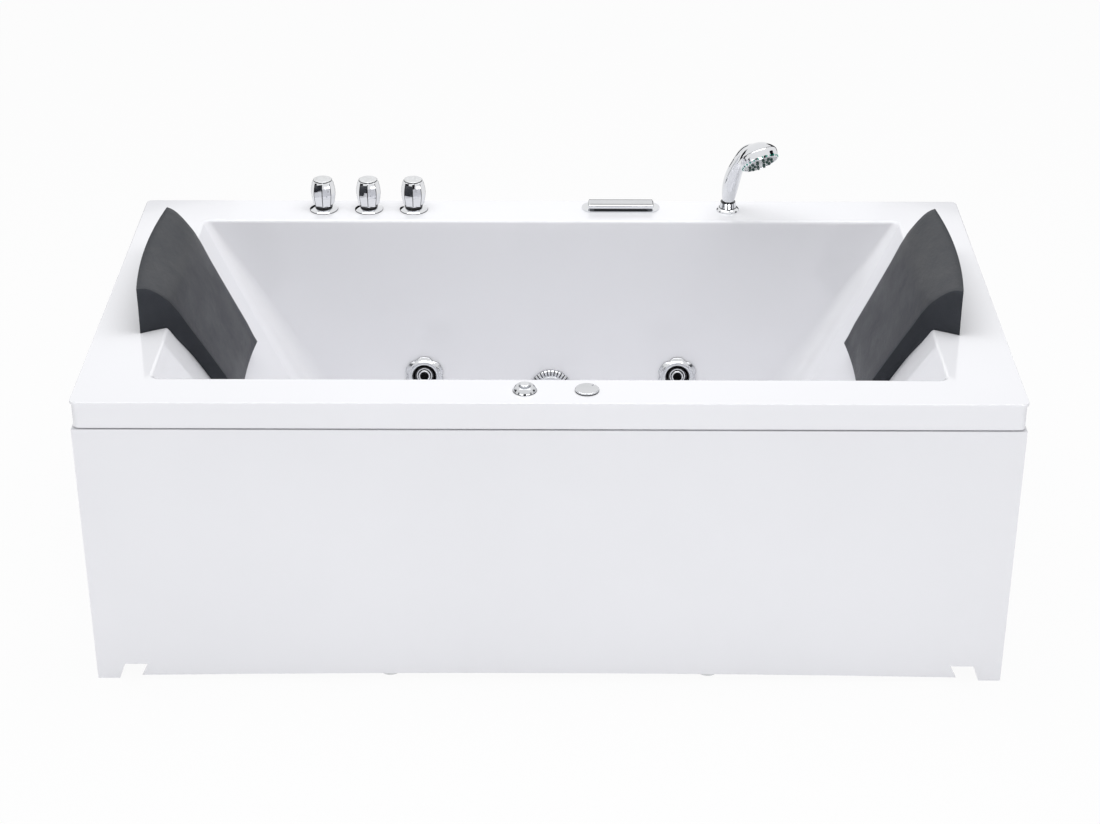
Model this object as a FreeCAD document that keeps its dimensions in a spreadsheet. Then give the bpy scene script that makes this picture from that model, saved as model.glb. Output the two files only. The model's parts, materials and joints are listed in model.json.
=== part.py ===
"""A jetted bathtub: acrylic shell with a front apron and end panels, on a steel frame with levelling feet.

The origin is on the floor under the middle of the tub. +X runs along the tub, +Y goes to the wall side
where the taps are, +Z is up. Lengths are millimetres and angles are degrees.
"""
import FreeCAD
import Part
import Sketcher

import math
import os

from FreeCAD import Placement, Rotation, Vector

# Driving dimensions: alias in the sheet, value, what it measures.
SIZES = [
    # the shell
    ("tub_length", 1700.0, "rim along X"),
    ("tub_width", 900.0, "rim along Y"),
    ("rim_height", 590.0, "rim top above the floor"),
    ("shell_wall", 6.0, "acrylic with its glass-fibre backing"),
    ("lip_height", 52.5, "down-turned lip round the rim"),
    ("rim_corner", 12.0, "radius of the rim's upright corners"),
    ("bead_height", 5.0, "height of the bead round the rim"),
    ("bead_reach", 2.5, "how far that bead stands out past the lip, but not on the wall side"),
    ("rim_edge", 2.0, "rounding of the rim's outer edge"),
    ("rim_end", 132.0, "flat rim at each end of the basin"),
    ("rim_front", 95.0, "flat rim in front of the basin"),
    ("rim_back", 104.0, "flat rim behind the basin, under the taps"),
    ("basin_depth", 430.0, "rim top to basin floor"),
    ("end_slope", 0.55, "lean of the end walls, run for each millimetre of depth"),
    ("side_slope", 0.15, "lean of the front and back walls, run for each millimetre of depth"),
    ("basin_corner_top", 14.0, "upright corner radius of the basin at the rim"),
    ("basin_corner_floor", 75.0, "upright corner radius of the basin at its floor"),
    ("basin_edge", 7.0, "rounding of the basin's mouth"),
    ("basin_floor_round", 18.0, "rounding between the basin's walls and its floor"),
    # the panels
    ("panel_wall", 5.0, "thickness of apron and end panels"),
    ("panel_gap", 2.0, "shadow gap under the lip"),
    ("panel_return", 14.0, "width of the apron's turned-in top and sides"),
    ("foot_width", 41.0, "width of an apron foot on the floor"),
    ("notch_end", 84.0, "from the tub's end to the inner end of an apron notch"),
    ("notch_lean", 12.0, "slant of both sides of a notch"),
    ("notch_top", 32.0, "notch top above the floor"),
    ("apron_lift", 7.0, "apron's lower edge above the floor, beside the notch"),
    ("apron_arch", 7.0, "rise of the apron's lower edge at its middle"),
    ("panel_foot", 41.0, "length of an end panel's foot"),
    ("panel_lift", 14.0, "end panel's lower edge above the floor"),
    # the headrests
    ("rest_centre", 12.0, "Y of the headrest's middle"),
    ("rest_inset", 85.0, "from the tub's end to the headrest's outer corners"),
    ("rest_bulge", 14.0, "how far the outer end bulges past its corners"),
    ("rest_length", 172.0, "from the outer corners to the lower end's corners, along X"),
    ("rest_notch", 7.0, "how far the lower end is hollowed"),
    ("rest_outer_half", 190.0, "half width at the outer end"),
    ("rest_inner_half", 128.0, "half width at the lower end"),
    ("rest_side_radius", 465.0, "hollow curve of the long sides"),
    ("rest_height", 92.0, "top of the outer end above the rim"),
    ("rest_top_flat", 7.0, "flat of the top inside the outer corners"),
    ("rest_crown", 20.0, "rounding between that flat and the roll"),
    ("rest_roll_radius", 142.0, "roll of the top over the basin's edge"),
    ("rest_roll_length", 85.0, "from the outer corners to the end of that roll, along X"),
    ("rest_roll_drop", 96.0, "drop of the top over that roll"),
    ("rest_slope_radius", 1400.0, "long curve of the top down the slope"),
    ("rest_end_height", 44.0, "upright thickness of the lower end"),
    ("rest_corner", 6.0, "rounding of the headrest's upright corners"),
    ("rest_edge", 3.0, "rounding of the headrest's top edges"),
    ("rest_gap", 0.3, "clearance under the headrest"),
    ("peg_inset", 18.0, "from the outer corners to the headrest's pegs, along X"),
    ("peg_spread", 90.0, "from the headrest's middle to each peg"),
    ("peg_radius", 5.0, "shank of a headrest peg"),
    ("peg_length", 40.0, "length of a headrest peg"),
    ("peg_bite", 20.0, "length of a peg inside the headrest"),
    ("peg_collar", 9.0, "radius of the peg's snap collar under the rim"),
    ("peg_collar_height", 4.0, "thickness of the snap collar"),
    # the frame
    ("tube_side", 25.0, "square tube of the frame"),
    ("tube_wall", 2.0, "wall of the square tube"),
    ("leg_inset_x", 120.0, "from the rim's end to a corner leg's axis"),
    ("leg_inset_y", 32.5, "from the rim's side to a corner leg's axis"),
    ("leg_bottom", 60.0, "lower end of the legs above the floor"),
    ("mid_leg_x", 300.0, "from the tub's middle to the short middle legs"),
    ("cross_pitch", 200.0, "spacing of the cross tubes"),
    ("board_height", 18.0, "thickness of the base board under the basin"),
    ("board_length", 900.0, "base board along X"),
    ("board_width", 500.0, "base board along Y"),
    ("board_hole", 52.0, "radius of the base board's hole for the waste"),
    ("foot_radius", 20.0, "pad of a levelling foot"),
    ("foot_height", 12.0, "height of that pad"),
    ("foot_bolt", 6.0, "radius of a levelling foot's bolt"),
    ("foot_bolt_top", 85.0, "upper end of that bolt above the floor"),
    ("foot_nut", 19.0, "lock nut across its flats"),
    ("foot_nut_height", 10.0, "thickness of the lock nut"),
    ("bracket_height", 40.0, "height of a panel spacer"),
    ("bracket_low", 150.0, "lower spacers above the floor"),
    ("bracket_high", 470.0, "upper spacers above the floor"),
    # fits
    ("running_gap", 0.05, "radial clearance of a turning or sliding fit"),
    ("seat_gap", 0.3, "clearance between curved or leaning pieces that seat on each other"),
    ("hole_gap", 0.5, "radial clearance of the shell's drilled holes"),
    # the tap knobs
    ("deck_inset", 46.0, "from the rim's wall side to the fittings on it"),
    ("hot_x", -474.0, "hot tap"),
    ("cold_x", -380.0, "cold tap"),
    ("diverter_x", -286.5, "diverter"),
    ("knob_top", 68.0, "knob's top above the rim"),
    ("knob_bottom", 12.0, "knob's lower edge above the rim"),
    ("knob_waist", 38.0, "height of the knob's widest part above the rim"),
    ("knob_top_radius", 20.5, "corner radius of the knob's top"),
    ("knob_waist_radius", 25.5, "corner radius at the widest part"),
    ("knob_bottom_radius", 21.5, "corner radius at the lower edge"),
    ("knob_neck", 12.5, "radius of the neck under the knob"),
    ("spindle_radius", 4.0, "spindle of knobs and controls"),
    ("spindle_length", 45.0, "spindle below the rim"),
    ("flange_radius", 29.0, "round cover flange under a knob"),
    ("flange_height", 7.0, "height of that flange"),
    ("thread_radius", 11.0, "threaded sleeve through the rim"),
    ("valve_radius", 17.0, "valve body below the rim"),
    ("valve_top", 24.0, "top of the valve body below the rim"),
    ("valve_length", 60.0, "height of the valve body"),
    ("inlet_radius", 10.475, "supply inlet, a half-inch pipe thread"),
    ("inlet_length", 20.0, "length of the supply inlet"),
    ("deck_nut_height", 8.0, "thickness of a nut under the rim"),
    ("deck_nut_margin", 9.0, "flat of that nut past its thread"),
    # supply pipes
    ("supply_radius", 7.0, "pipes from the taps to spout and shower"),
    ("supply_wall", 1.0, "wall of those pipes"),
    ("spout_line", 38.0, "depth of the spout's line below the rim"),
    ("shower_line", 68.0, "depth of the shower's line below the rim"),
    ("supply_bend", 25.0, "bend of the shower's line"),
    # the spout
    ("spout_x", 145.0, "spout's middle"),
    ("spout_inset", 63.5, "from the rim's wall side to the spout's front edge"),
    ("spout_width", 136.0, "spout along X"),
    ("spout_depth", 33.0, "spout along Y"),
    ("spout_height", 17.0, "spout's top above the rim"),
    ("spout_plate", 7.0, "thickness of the spout's top bar"),
    ("spout_round", 3.0, "rounding of the bar's edges"),
    ("spout_base_inset", 3.0, "how far the base stands back under the bar"),
    ("spout_flange_margin", 13.0, "spout's flange past the ends of its bar"),
    ("spout_flange_depth", 52.0, "spout's flange along Y"),
    ("spout_flange_corner", 25.0, "radius of that flange's ends"),
    ("spout_flange_height", 3.0, "thickness of that flange"),
    ("slot_width", 112.0, "water slot along X"),
    ("slot_height", 3.0, "water slot's height"),
    ("slot_depth", 16.0, "water slot's depth"),
    ("shank_length", 55.0, "threaded shank below the rim"),
    ("shank_bore", 8.0, "radius of the water way in the shank"),
    # the hand shower
    ("shower_x", 368.0, "shower socket"),
    ("shower_turn", 30.0, "how far the shower's face points to +X from straight ahead, degrees"),
    ("socket_radius", 23.5, "socket's flange"),
    ("socket_dome", 7.0, "height of the flange's dome"),
    ("collar_radius", 17.5, "foot of the socket's collar"),
    ("collar_top_radius", 15.0, "top of the collar"),
    ("collar_height", 19.0, "top of the collar above the rim"),
    ("handle_foot", 12.0, "radius of the handle inside the socket"),
    ("handle_grip", 16.3, "radius of the handle at its thickest"),
    ("handle_neck", 14.3, "radius of the handle below the head"),
    ("handle_bend", 211.0, "radius of the handle's forward bend"),
    ("neck_lean", 42.0, "lean of the handle where it meets the head, degrees"),
    ("collar_seat", 3.0, "seat of the handle in the socket, above the rim"),
    ("socket_shank", 40.0, "socket's shank below the rim"),
    ("head_forward", 98.0, "from the socket to the middle of the head's rim"),
    ("head_up", 157.0, "height of the head's rim middle above the rim"),
    ("head_tilt", 43.5, "how far the spray axis points forward from straight down, degrees"),
    ("head_radius", 41.0, "radius of the head"),
    ("head_dome", 25.0, "height of the head's back"),
    ("face_height", 20.0, "thickness of the turning face"),
    ("face_spigot", 12.0, "radius of the face's spigot in the head"),
    ("face_spigot_length", 9.0, "length of that spigot"),
    ("face_plate", 34.0, "radius of the face inside its ring"),
    ("nozzle_circle", 22.0, "circle of the outer spray nozzles"),
    ("nozzle_count", 12.0, "number of outer spray nozzles"),
    ("nozzle_radius", 2.2, "radius of a spray nozzle"),
    ("nozzle_length", 5.0, "length of a nozzle past the face"),
    # push button and air control on the front rim
    ("control_inset", 50.0, "from the rim's front to both controls"),
    ("button_x", -43.0, "push button"),
    ("air_x", 68.0, "air control"),
    ("bezel_radius", 21.25, "radius of the button's bezel"),
    ("bezel_height", 10.0, "height of the bezel"),
    ("cap_radius", 9.4, "radius of the button's cap"),
    ("cap_rise", 4.0, "cap's top above its bezel"),
    ("sleeve_radius", 13.0, "sleeve of both controls through the rim"),
    ("sleeve_wall", 2.0, "wall of that sleeve"),
    ("sleeve_length", 45.0, "sleeve below the rim"),
    ("barb_radius", 4.0, "air barb under both controls"),
    ("barb_length", 15.0, "length of the air barb"),
    ("air_knob_radius", 21.2, "radius of the air control's knob"),
    ("air_knob_height", 3.4, "height of that knob"),
    ("air_knob_dish", 1.2, "depth of the knob's hollow top"),
    ("air_ring_height", 1.2, "fixed ring under the knob"),
    # the jets
    ("jet_x", 267.0, "from the tub's middle to each jet"),
    ("jet_z", 256.0, "jets above the floor"),
    ("jet_ring_radius", 41.0, "radius of a jet's turning ring"),
    ("jet_ring_height", 11.0, "height of that ring off the wall"),
    ("jet_ring_bore", 25.0, "opening of that ring"),
    ("jet_lobes", 6.0, "scallops round the ring"),
    ("scallop_radius", 14.0, "radius of a scallop"),
    ("scallop_depth", 5.5, "depth of a scallop"),
    ("ball_radius", 22.0, "radius of the swivelling nozzle"),
    ("ball_front", 10.0, "ball's flat front and back ahead of and behind its middle"),
    ("ball_sink", 2.0, "ball's middle behind the wall face"),
    ("nozzle_bore", 8.5, "bore of the swivelling nozzle"),
    ("jet_barrel", 28.0, "radius of a jet's barrel"),
    ("jet_barrel_length", 66.0, "barrel behind the wall face"),
    ("jet_flange", 34.0, "radius of the barrel's flange in the basin"),
    ("jet_flange_height", 2.0, "thickness of that flange"),
    ("jet_nut_radius", 42.0, "radius of a jet's lock nut"),
    ("jet_nut_height", 8.0, "thickness of that nut"),
    # suction
    ("suction_z", 224.0, "suction fitting above the floor"),
    ("suction_radius", 46.0, "radius of the suction cover"),
    ("suction_cover_height", 9.0, "height of the suction cover"),
    ("suction_slots", 36.0, "slots round the suction cover"),
    ("suction_slot_width", 2.2, "width of a slot"),
    ("suction_slot_length", 11.5, "length of a slot in from the cover's edge"),
    ("suction_flange", 38.0, "radius of the suction body's flange"),
    ("suction_barrel", 30.0, "radius of the suction barrel"),
    ("suction_depth", 100.0, "axis of the suction pipe behind the wall face"),
    ("suction_pipe_radius", 24.0, "suction pipe"),
    ("suction_pipe_wall", 3.0, "wall of the suction pipe"),
    ("suction_pipe_bend", 60.0, "bend of the suction pipe"),
    ("suction_stub", 45.0, "reach of the suction body's side branch"),
    # manifolds
    ("water_pipe_radius", 16.0, "water manifold"),
    ("water_pipe_wall", 2.5, "wall of the water manifold"),
    ("water_pipe_depth", 28.0, "axis of the water manifold behind the wall face"),
    ("water_pipe_rise", 62.0, "axis of the water manifold above the jets, along the wall"),
    ("water_stub_radius", 12.0, "water stub of a jet"),
    ("riser_radius", 15.0, "riser from the pump to the water manifold"),
    ("air_pipe_radius", 6.0, "air manifold"),
    ("air_pipe_wall", 1.0, "wall of the air manifold"),
    ("air_pipe_depth", 54.0, "axis of the air manifold behind the wall face"),
    ("air_pipe_rise", 88.0, "axis of the air manifold above the jets, along the wall"),
    ("air_stub_radius", 5.0, "air stub of a jet"),
    ("manifold_end", 310.0, "from the tub's middle to the manifolds' closed ends"),
    ("air_turn_inset", 160.0, "from the rim's end to the air manifold's cross run"),
    ("manifold_bend", 60.0, "bends of the manifolds"),
    # drain and overflow
    ("drain_y", -180.0, "Y of the drain"),
    ("drain_radius", 36.0, "drain flange"),
    ("drain_flange_height", 3.0, "thickness of that flange"),
    ("drain_bore", 20.0, "radius of the drain's opening"),
    ("drain_tail", 23.5, "radius of the drain's tail through the floor"),
    ("plug_radius", 30.0, "pop-up plug's cap"),
    ("plug_height", 6.0, "height of the cap"),
    ("plug_stem", 5.0, "radius of the plug's stem"),
    ("plug_stem_length", 60.0, "length of the stem"),
    ("waste_radius", 30.0, "waste body"),
    ("waste_bottom", 66.0, "bottom of the waste body above the floor"),
    ("waste_axis", 92.0, "axis of the waste outlet above the floor"),
    ("waste_pipe_radius", 20.0, "waste outlet"),
    ("waste_pipe_wall", 2.0, "wall of the waste pipes"),
    ("waste_outlet_y", 300.0, "Y of the waste outlet's end"),
    ("waste_spigot_length", 60.0, "length of the outlet's free spigot"),
    ("overflow_z", 490.0, "overflow above the floor"),
    ("overflow_radius", 37.0, "overflow plate"),
    ("overflow_height", 6.0, "height of the overflow plate"),
    ("overflow_knob_radius", 26.0, "overflow's turning knob"),
    ("overflow_knob_height", 13.0, "height of that knob"),
    ("overflow_barrel", 23.0, "overflow barrel through the wall"),
    ("overflow_inset", 49.0, "from the rim's front to the overflow pipe"),
    ("overflow_pipe_radius", 18.0, "overflow pipe"),
    ("overflow_step", 61.0, "how far the overflow pipe steps in below the basin's wall"),
    ("overflow_bend", 40.0, "bends of the overflow pipe"),
    ("overflow_step_z", 230.0, "height where the overflow pipe steps in"),
    # the pump
    ("pump_inset", 200.0, "from the rim's end to the pump's axis"),
    ("pump_y", 70.0, "Y of the joint between casing and motor"),
    ("casing_radius", 70.0, "pump casing"),
    ("casing_length", 64.0, "pump casing along its axis"),
    ("casing_wall", 6.0, "wall of the pump casing"),
    ("impeller_radius", 50.0, "impeller"),
    ("impeller_height", 14.0, "thickness of the impeller"),
    ("discharge_height", 86.0, "top of the pump's discharge above its axis"),
    ("pump_neck", 27.0, "radius of the pump's inlet neck"),
    ("pump_neck_length", 30.0, "length of the inlet neck"),
    ("motor_radius", 60.0, "motor casing"),
    ("motor_length", 170.0, "motor casing along its axis"),
    ("motor_wall", 4.0, "wall of the motor casing"),
    ("motor_fins", 24.0, "cooling fins of the motor"),
    ("motor_fin_height", 6.0, "height of a cooling fin"),
    ("shaft_radius", 8.0, "pump shaft"),
    ("core_radius", 34.0, "rotor core"),
    ("core_start", 30.0, "rotor core behind the joint of casing and motor"),
    ("core_length", 90.0, "length of the rotor core"),
    ("fan_radius", 52.0, "cooling fan"),
    ("fan_height", 14.0, "thickness of the cooling fan"),
    ("end_cover_length", 38.0, "motor's end cover along the axis"),
    ("pump_plate_height", 12.0, "thickness of the pump's base plate"),
    ("pump_plate_length", 340.0, "pump's base plate along Y"),
    ("pump_foot_width", 70.0, "pump's feet along X"),
    # control box
    ("box_inset", 370.0, "from the rim's end to the control box's middle"),
    ("box_length", 160.0, "control box along X"),
    ("box_depth", 46.0, "control box along Y"),
    ("box_height", 110.0, "control box along Z"),
    ("box_wall", 3.0, "wall of the control box"),
    ("box_lid", 6.0, "thickness of the control box's lid"),
    ("gland_radius", 12.0, "cable gland"),
    ("gland_bore", 4.5, "radius of the cable gland's bore"),
    ("gland_length", 22.0, "length of the cable gland"),
]


class Size(float):
    """A number that remembers the formula it came from, so that a feature can be bound to it."""

    def __new__(cls, value, text):
        size = super().__new__(cls, value)
        size.text = text
        return size

    def __add__(self, other):
        return Size(float(self) + float(other), f"({self.text} + {formula(other)})")

    def __radd__(self, other):
        return Size(float(other) + float(self), f"({formula(other)} + {self.text})")

    def __sub__(self, other):
        return Size(float(self) - float(other), f"({self.text} - {formula(other)})")

    def __rsub__(self, other):
        return Size(float(other) - float(self), f"({formula(other)} - {self.text})")

    def __mul__(self, other):
        return Size(float(self) * float(other), f"({self.text} * {formula(other)})")

    def __rmul__(self, other):
        return Size(float(other) * float(self), f"({formula(other)} * {self.text})")

    def __truediv__(self, other):
        return Size(float(self) / float(other), f"({self.text} / {formula(other)})")

    def __neg__(self):
        return Size(-float(self), f"(0 - {self.text})")


def formula(value):
    """The text of a size, or of a plain number."""
    return value.text if isinstance(value, Size) else f"{float(value):g}"


def arctangent(ratio):
    """The angle of a slope, in degrees."""
    return Size(math.degrees(math.atan(ratio)), f"(atan({formula(ratio)}) / 1 deg)")


def sine(angle):
    return Size(math.sin(math.radians(angle)), f"sin({formula(angle)})")


def cosine(angle):
    return Size(math.cos(math.radians(angle)), f"cos({formula(angle)})")


def root(value):
    return Size(math.sqrt(value), f"sqrt({formula(value)})")


class Sheet:
    """The driving dimensions as attributes, each one bound to its cell."""

    def __init__(self, document):
        cells = document.addObject("Spreadsheet::Sheet", "Sizes")
        for row, (name, value, meaning) in enumerate(SIZES, start=1):
            cells.set(f"A{row}", name)
            cells.set(f"B{row}", str(value))
            cells.set(f"C{row}", meaning)
            cells.setAlias(f"B{row}", name)
            setattr(self, name, Size(value, f"Sizes.{name}"))


doc = FreeCAD.newDocument("JettedBathtub")
S = Sheet(doc)
doc.recompute()

NODES = []


def node(item, label):
    """Keeps an object as one of the tub's sub-parts."""
    item.Label = label
    NODES.append(item)
    return item


# ---------------------------------------------------------------------------------------------------
# Drawing: sketches, bodies and places


def bind(item, prop, value):
    """Ties a property to the sheet, or sets a plain number."""
    if isinstance(value, Size):
        item.setExpression(prop, value.text)
    else:
        setattr(item, prop, value)


class Spot:
    """A place whose own upright axis leans from +Z by tilt degrees about X."""

    def __init__(self, x, y, z, tilt=0.0):
        self.x, self.y, self.z, self.tilt = x, y, z, tilt

    def at(self, across=0.0, along=0.0, out=0.0):
        """The point at these distances along the spot's own three axes."""
        turn_y, turn_z = cosine(self.tilt), sine(self.tilt)
        return (self.x + across, self.y + along * turn_y - out * turn_z,
                self.z + along * turn_z + out * turn_y)


def move(item, point, axis=Vector(0, 0, 1), angle=0.0):
    """Gives an object its place and its turn about an axis."""
    item.Placement = Placement(Vector(*[float(c) for c in point]), Rotation(axis, float(angle)))
    for name, coordinate in zip("xyz", point):
        if isinstance(coordinate, Size):
            item.setExpression(f"Placement.Base.{name}", coordinate.text)
    if isinstance(angle, Size):
        item.setExpression("Placement.Rotation.Angle", angle.text)
    return item


def put(item, spot, out=0.0):
    """Moves an object to a spot, out along the spot's own axis."""
    if float(spot.tilt) == 0.0:
        return move(item, (spot.x, spot.y, spot.z + out))
    return move(item, spot.at(out=out), Vector(1, 0, 0), spot.tilt)


def lay(item, x, y, z):
    """Moves an upright object to a point and lays it along +X."""
    return move(item, (x, y, z), Vector(0, 1, 0), 90.0)


def new_body(label):
    return doc.addObject("PartDesign::Body", label)


def new_sketch(body, plane, offset=0.0):
    """A sketch on one of the body's own origin planes, moved along that plane's normal."""
    sketch = body.newObject("Sketcher::SketchObject", f"{body.Name}_sketch")
    planes = [feature for feature in body.Origin.OriginFeatures if feature.Role == f"{plane}_Plane"]
    sketch.AttachmentSupport = (planes[0], "")
    sketch.MapMode = "FlatFace"
    sketch.AttachmentOffset = Placement(Vector(0, 0, float(offset)), Rotation())
    if isinstance(offset, Size):
        sketch.setExpression("AttachmentOffset.Base.z", offset.text)
    return sketch


def hold(sketch, kind, places, value):
    """Adds a dimension and ties it to the sheet."""
    index = sketch.addConstraint(Sketcher.Constraint(kind, *places, float(value)))
    if isinstance(value, Size):
        name = f"d{index}"
        sketch.renameConstraint(index, name)
        sketch.setExpression(f"Constraints.{name}", value.text)


def fix_point(sketch, edge, end, x, y):
    """Dimensions one end of an edge from the sketch's origin."""
    hold(sketch, "DistanceX", (-1, 1, edge, end), x)
    hold(sketch, "DistanceY", (-1, 1, edge, end), y)


def arc_between(start, end, radius):
    """The short arc from start to end, turning left for a positive radius; True if its ends swap."""
    chord = end - start
    middle = (start + end) / 2
    aside = Vector(-chord.y, chord.x, 0).normalize()
    reach = math.sqrt(max(radius ** 2 - (chord.Length / 2) ** 2, 0.0))
    centre = middle + aside * (reach if radius > 0 else -reach)
    first, last = (start, end) if radius > 0 else (end, start)
    angles = [math.atan2(point.y - centre.y, point.x - centre.x) for point in (first, last)]
    return Part.ArcOfCircle(Part.Circle(centre, Vector(0, 0, 1), abs(radius)), *angles), radius < 0


def draw(sketch, corners, closed=True):
    """Draws an outline through corners (x, y) or (x, y, radius): a radius makes the way there an arc."""
    points = [Vector(float(corner[0]), float(corner[1]), 0) for corner in corners]
    before = None
    first = None
    for index in range(0 if closed else 1, len(corners)):
        start, end = points[index - 1], points[index]
        swapped = False
        if len(corners[index]) > 2:
            curve, swapped = arc_between(start, end, float(corners[index][2]))
        else:
            curve = Part.LineSegment(start, end)
        edge = sketch.addGeometry(curve)
        tail, head = (2, 1) if swapped else (1, 2)
        if before is not None:
            sketch.addConstraint(Sketcher.Constraint("Coincident", *before, edge, tail))
        else:
            first = (edge, tail)
        if not closed and index == 1:
            fix_point(sketch, edge, tail, *corners[0][:2])
        fix_point(sketch, edge, head, *corners[index][:2])
        if len(corners[index]) > 2:
            radius = corners[index][2]
            hold(sketch, "Radius", (edge,), -radius if radius < 0 else radius)
        before = (edge, head)
    if closed:
        sketch.addConstraint(Sketcher.Constraint("Coincident", *before, *first))


def draw_circle(sketch, x, y, radius):
    circle = Part.Circle(Vector(float(x), float(y), 0), Vector(0, 0, 1), float(radius))
    edge = sketch.addGeometry(circle)
    fix_point(sketch, edge, 3, x, y)
    hold(sketch, "Radius", (edge,), radius)


def rounded_box(x0, y0, x1, y1, radius):
    """The corners of a rectangle with round corners, anticlockwise."""
    return [(x0 + radius, y0, radius), (x1 - radius, y0), (x1, y0 + radius, radius), (x1, y1 - radius),
            (x1 - radius, y1, radius), (x0 + radius, y1), (x0, y1 - radius, radius), (x0, y0 + radius)]


def polygon(count, radius, first_angle=0.0):
    """The corners of a regular polygon, one of them at first_angle."""
    corners = []
    for index in range(count):
        angle = first_angle + 360.0 * index / count
        corners.append((radius * math.cos(math.radians(angle)), radius * math.sin(math.radians(angle))))
    return corners


def add(body, kind, sketch, **values):
    """Adds a feature made from a sketch and binds its sizes."""
    feature = body.newObject(f"PartDesign::{kind}", f"{body.Name}_{kind.lower()}")
    feature.Profile = sketch
    for name, value in values.items():
        bind(feature, name, value)
    return feature


def pad(body, sketch, length, **values):
    return add(body, "Pad", sketch, Length=length, **values)


def pocket(body, sketch, length, **values):
    return add(body, "Pocket", sketch, Length=length, **values)


def pattern(body, feature, count):
    """Repeats a feature round the body's Z axis."""
    axis = [item for item in body.Origin.OriginFeatures if item.Role == "Z_Axis"][0]
    copies = body.newObject("PartDesign::PolarPattern", f"{body.Name}_pattern")
    copies.Originals = [feature]
    copies.Axis = (axis, [""])
    bind(copies, "Occurrences", count)
    body.Tip = copies
    return copies


def turned(label, *profiles):
    """A body turned about its own Z axis; each profile is an outline of (radius, height) corners."""
    body = new_body(label)
    for profile in profiles:
        sketch = new_sketch(body, "XZ")
        draw(sketch, profile)
        revolution = add(body, "Revolution", sketch)
        revolution.ReferenceAxis = (sketch, ["V_Axis"])
        revolution.Angle = 360
    return body


def ring(inner, outer, low, high):
    """The profile of a plain ring."""
    return [(inner, low), (outer, low), (outer, high), (inner, high)]


def nut(label, flats, bore, height):
    """A hexagon nut that stands on its own Z = 0."""
    body = new_body(label)
    sketch = new_sketch(body, "XY")
    draw(sketch, polygon(6, flats / math.sqrt(3)))
    draw_circle(sketch, 0.0, 0.0, bore)
    pad(body, sketch, height)
    return body


def dome_radius(reach, height):
    """The radius of a dome from its half width and its height."""
    return (reach * reach + height * height) / (2 * height)


def swept_pipe(body, plane, level, path, start_plane, start, section, outer, wall):
    """Adds a pipe along a flat path; start is the section plane's offset, section its middle there."""
    spine = new_sketch(body, plane, level)
    draw(spine, path, closed=False)
    profile = new_sketch(body, start_plane, start)
    draw_circle(profile, *section, outer)
    draw_circle(profile, *section, outer - wall)
    pipe = body.newObject("PartDesign::AdditivePipe", f"{body.Name}_pipe")
    pipe.Profile = profile
    pipe.Spine = (spine, [])
    return pipe


def cylinder(label, radius, height):
    item = doc.addObject("Part::Cylinder", label)
    bind(item, "Radius", radius)
    bind(item, "Height", height)
    return item


def block(label, length, width, height):
    item = doc.addObject("Part::Box", label)
    bind(item, "Length", length)
    bind(item, "Width", width)
    bind(item, "Height", height)
    return item


def block_between(label, low, high):
    """A box from its low corner to its high corner."""
    item = block(label, *[top - bottom for bottom, top in zip(low, high)])
    return put(item, Spot(*low))


def fused(label, *items):
    joined = doc.addObject("Part::MultiFuse", label)
    joined.Shapes = list(items)
    return joined


def cut(label, base, *tools):
    result = doc.addObject("Part::Cut", label)
    result.Base = base
    result.Tool = tools[0] if len(tools) == 1 else fused(f"{label}_tools", *tools)
    return result


def group(label, items):
    """Alike pieces, each one a solid of its own, kept as one sub-part."""
    together = doc.addObject("Part::Compound", label)
    together.Links = list(items)
    return together


def edges_where(shape, test):
    """The names of the edges whose every sampled point passes the test."""
    names = []
    for index, edge in enumerate(shape.Edges, start=1):
        samples = edge.discretize(5)
        if all(test(point) for point in samples):
            names.append(f"Edge{index}")
    return names


def fillet(body, radius, test):
    """Rounds the edges of the body's last feature that pass the test."""
    doc.recompute()
    base = body.Tip
    names = edges_where(base.Shape, test)
    if not names:
        raise RuntimeError(f"{body.Name} has no edge to round")
    feature = body.newObject("PartDesign::Fillet", f"{body.Name}_fillet")
    feature.Base = (base, names)
    bind(feature, "Radius", radius)
    return feature


def near(value, target, reach=0.01):
    return abs(value - target) < reach


# ---------------------------------------------------------------------------------------------------
# Places that several pieces share

HALF_LENGTH = S.tub_length / 2
HALF_WIDTH = S.tub_width / 2
BASIN_HALF = HALF_LENGTH - S.rim_end
BASIN_FRONT = S.rim_front - HALF_WIDTH
BASIN_BACK = HALF_WIDTH - S.rim_back
RIM_UNDERSIDE = S.rim_height - S.shell_wall
FLOOR_TOP = S.rim_height - S.basin_depth
FLOOR_UNDERSIDE = FLOOR_TOP - S.shell_wall
PANEL_TOP = S.rim_height - S.lip_height - S.panel_gap
WALL_ANGLE = arctangent(S.side_slope)
WALL_SKIN = S.shell_wall * cosine(WALL_ANGLE)

BOARD_UNDERSIDE = FLOOR_UNDERSIDE - S.board_height
TUBE_BOTTOM = BOARD_UNDERSIDE - S.tube_side
LEG_X = HALF_LENGTH - S.leg_inset_x
LEG_Y = HALF_WIDTH - S.leg_inset_y
FOOT_INNER = HALF_LENGTH - S.foot_width
NOTCH_INNER = HALF_LENGTH - S.notch_end
REST_OUTER = HALF_LENGTH - S.rest_inset
REST_INNER = REST_OUTER - S.rest_length
REST_ROLL_END = REST_OUTER - S.rest_roll_length
PEG_X = REST_OUTER - S.peg_inset
DECK_Y = HALF_WIDTH - S.deck_inset
SPOUT_FRONT = HALF_WIDTH - S.spout_inset
CONTROL_Y = S.control_inset - HALF_WIDTH
OVERFLOW_Y = S.overflow_inset - HALF_WIDTH
OVERFLOW_INNER_Y = OVERFLOW_Y + S.overflow_step
AIR_TURN_X = HALF_LENGTH - S.air_turn_inset
PUMP_X = HALF_LENGTH - S.pump_inset
BOX_X = S.box_inset - HALF_LENGTH


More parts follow.
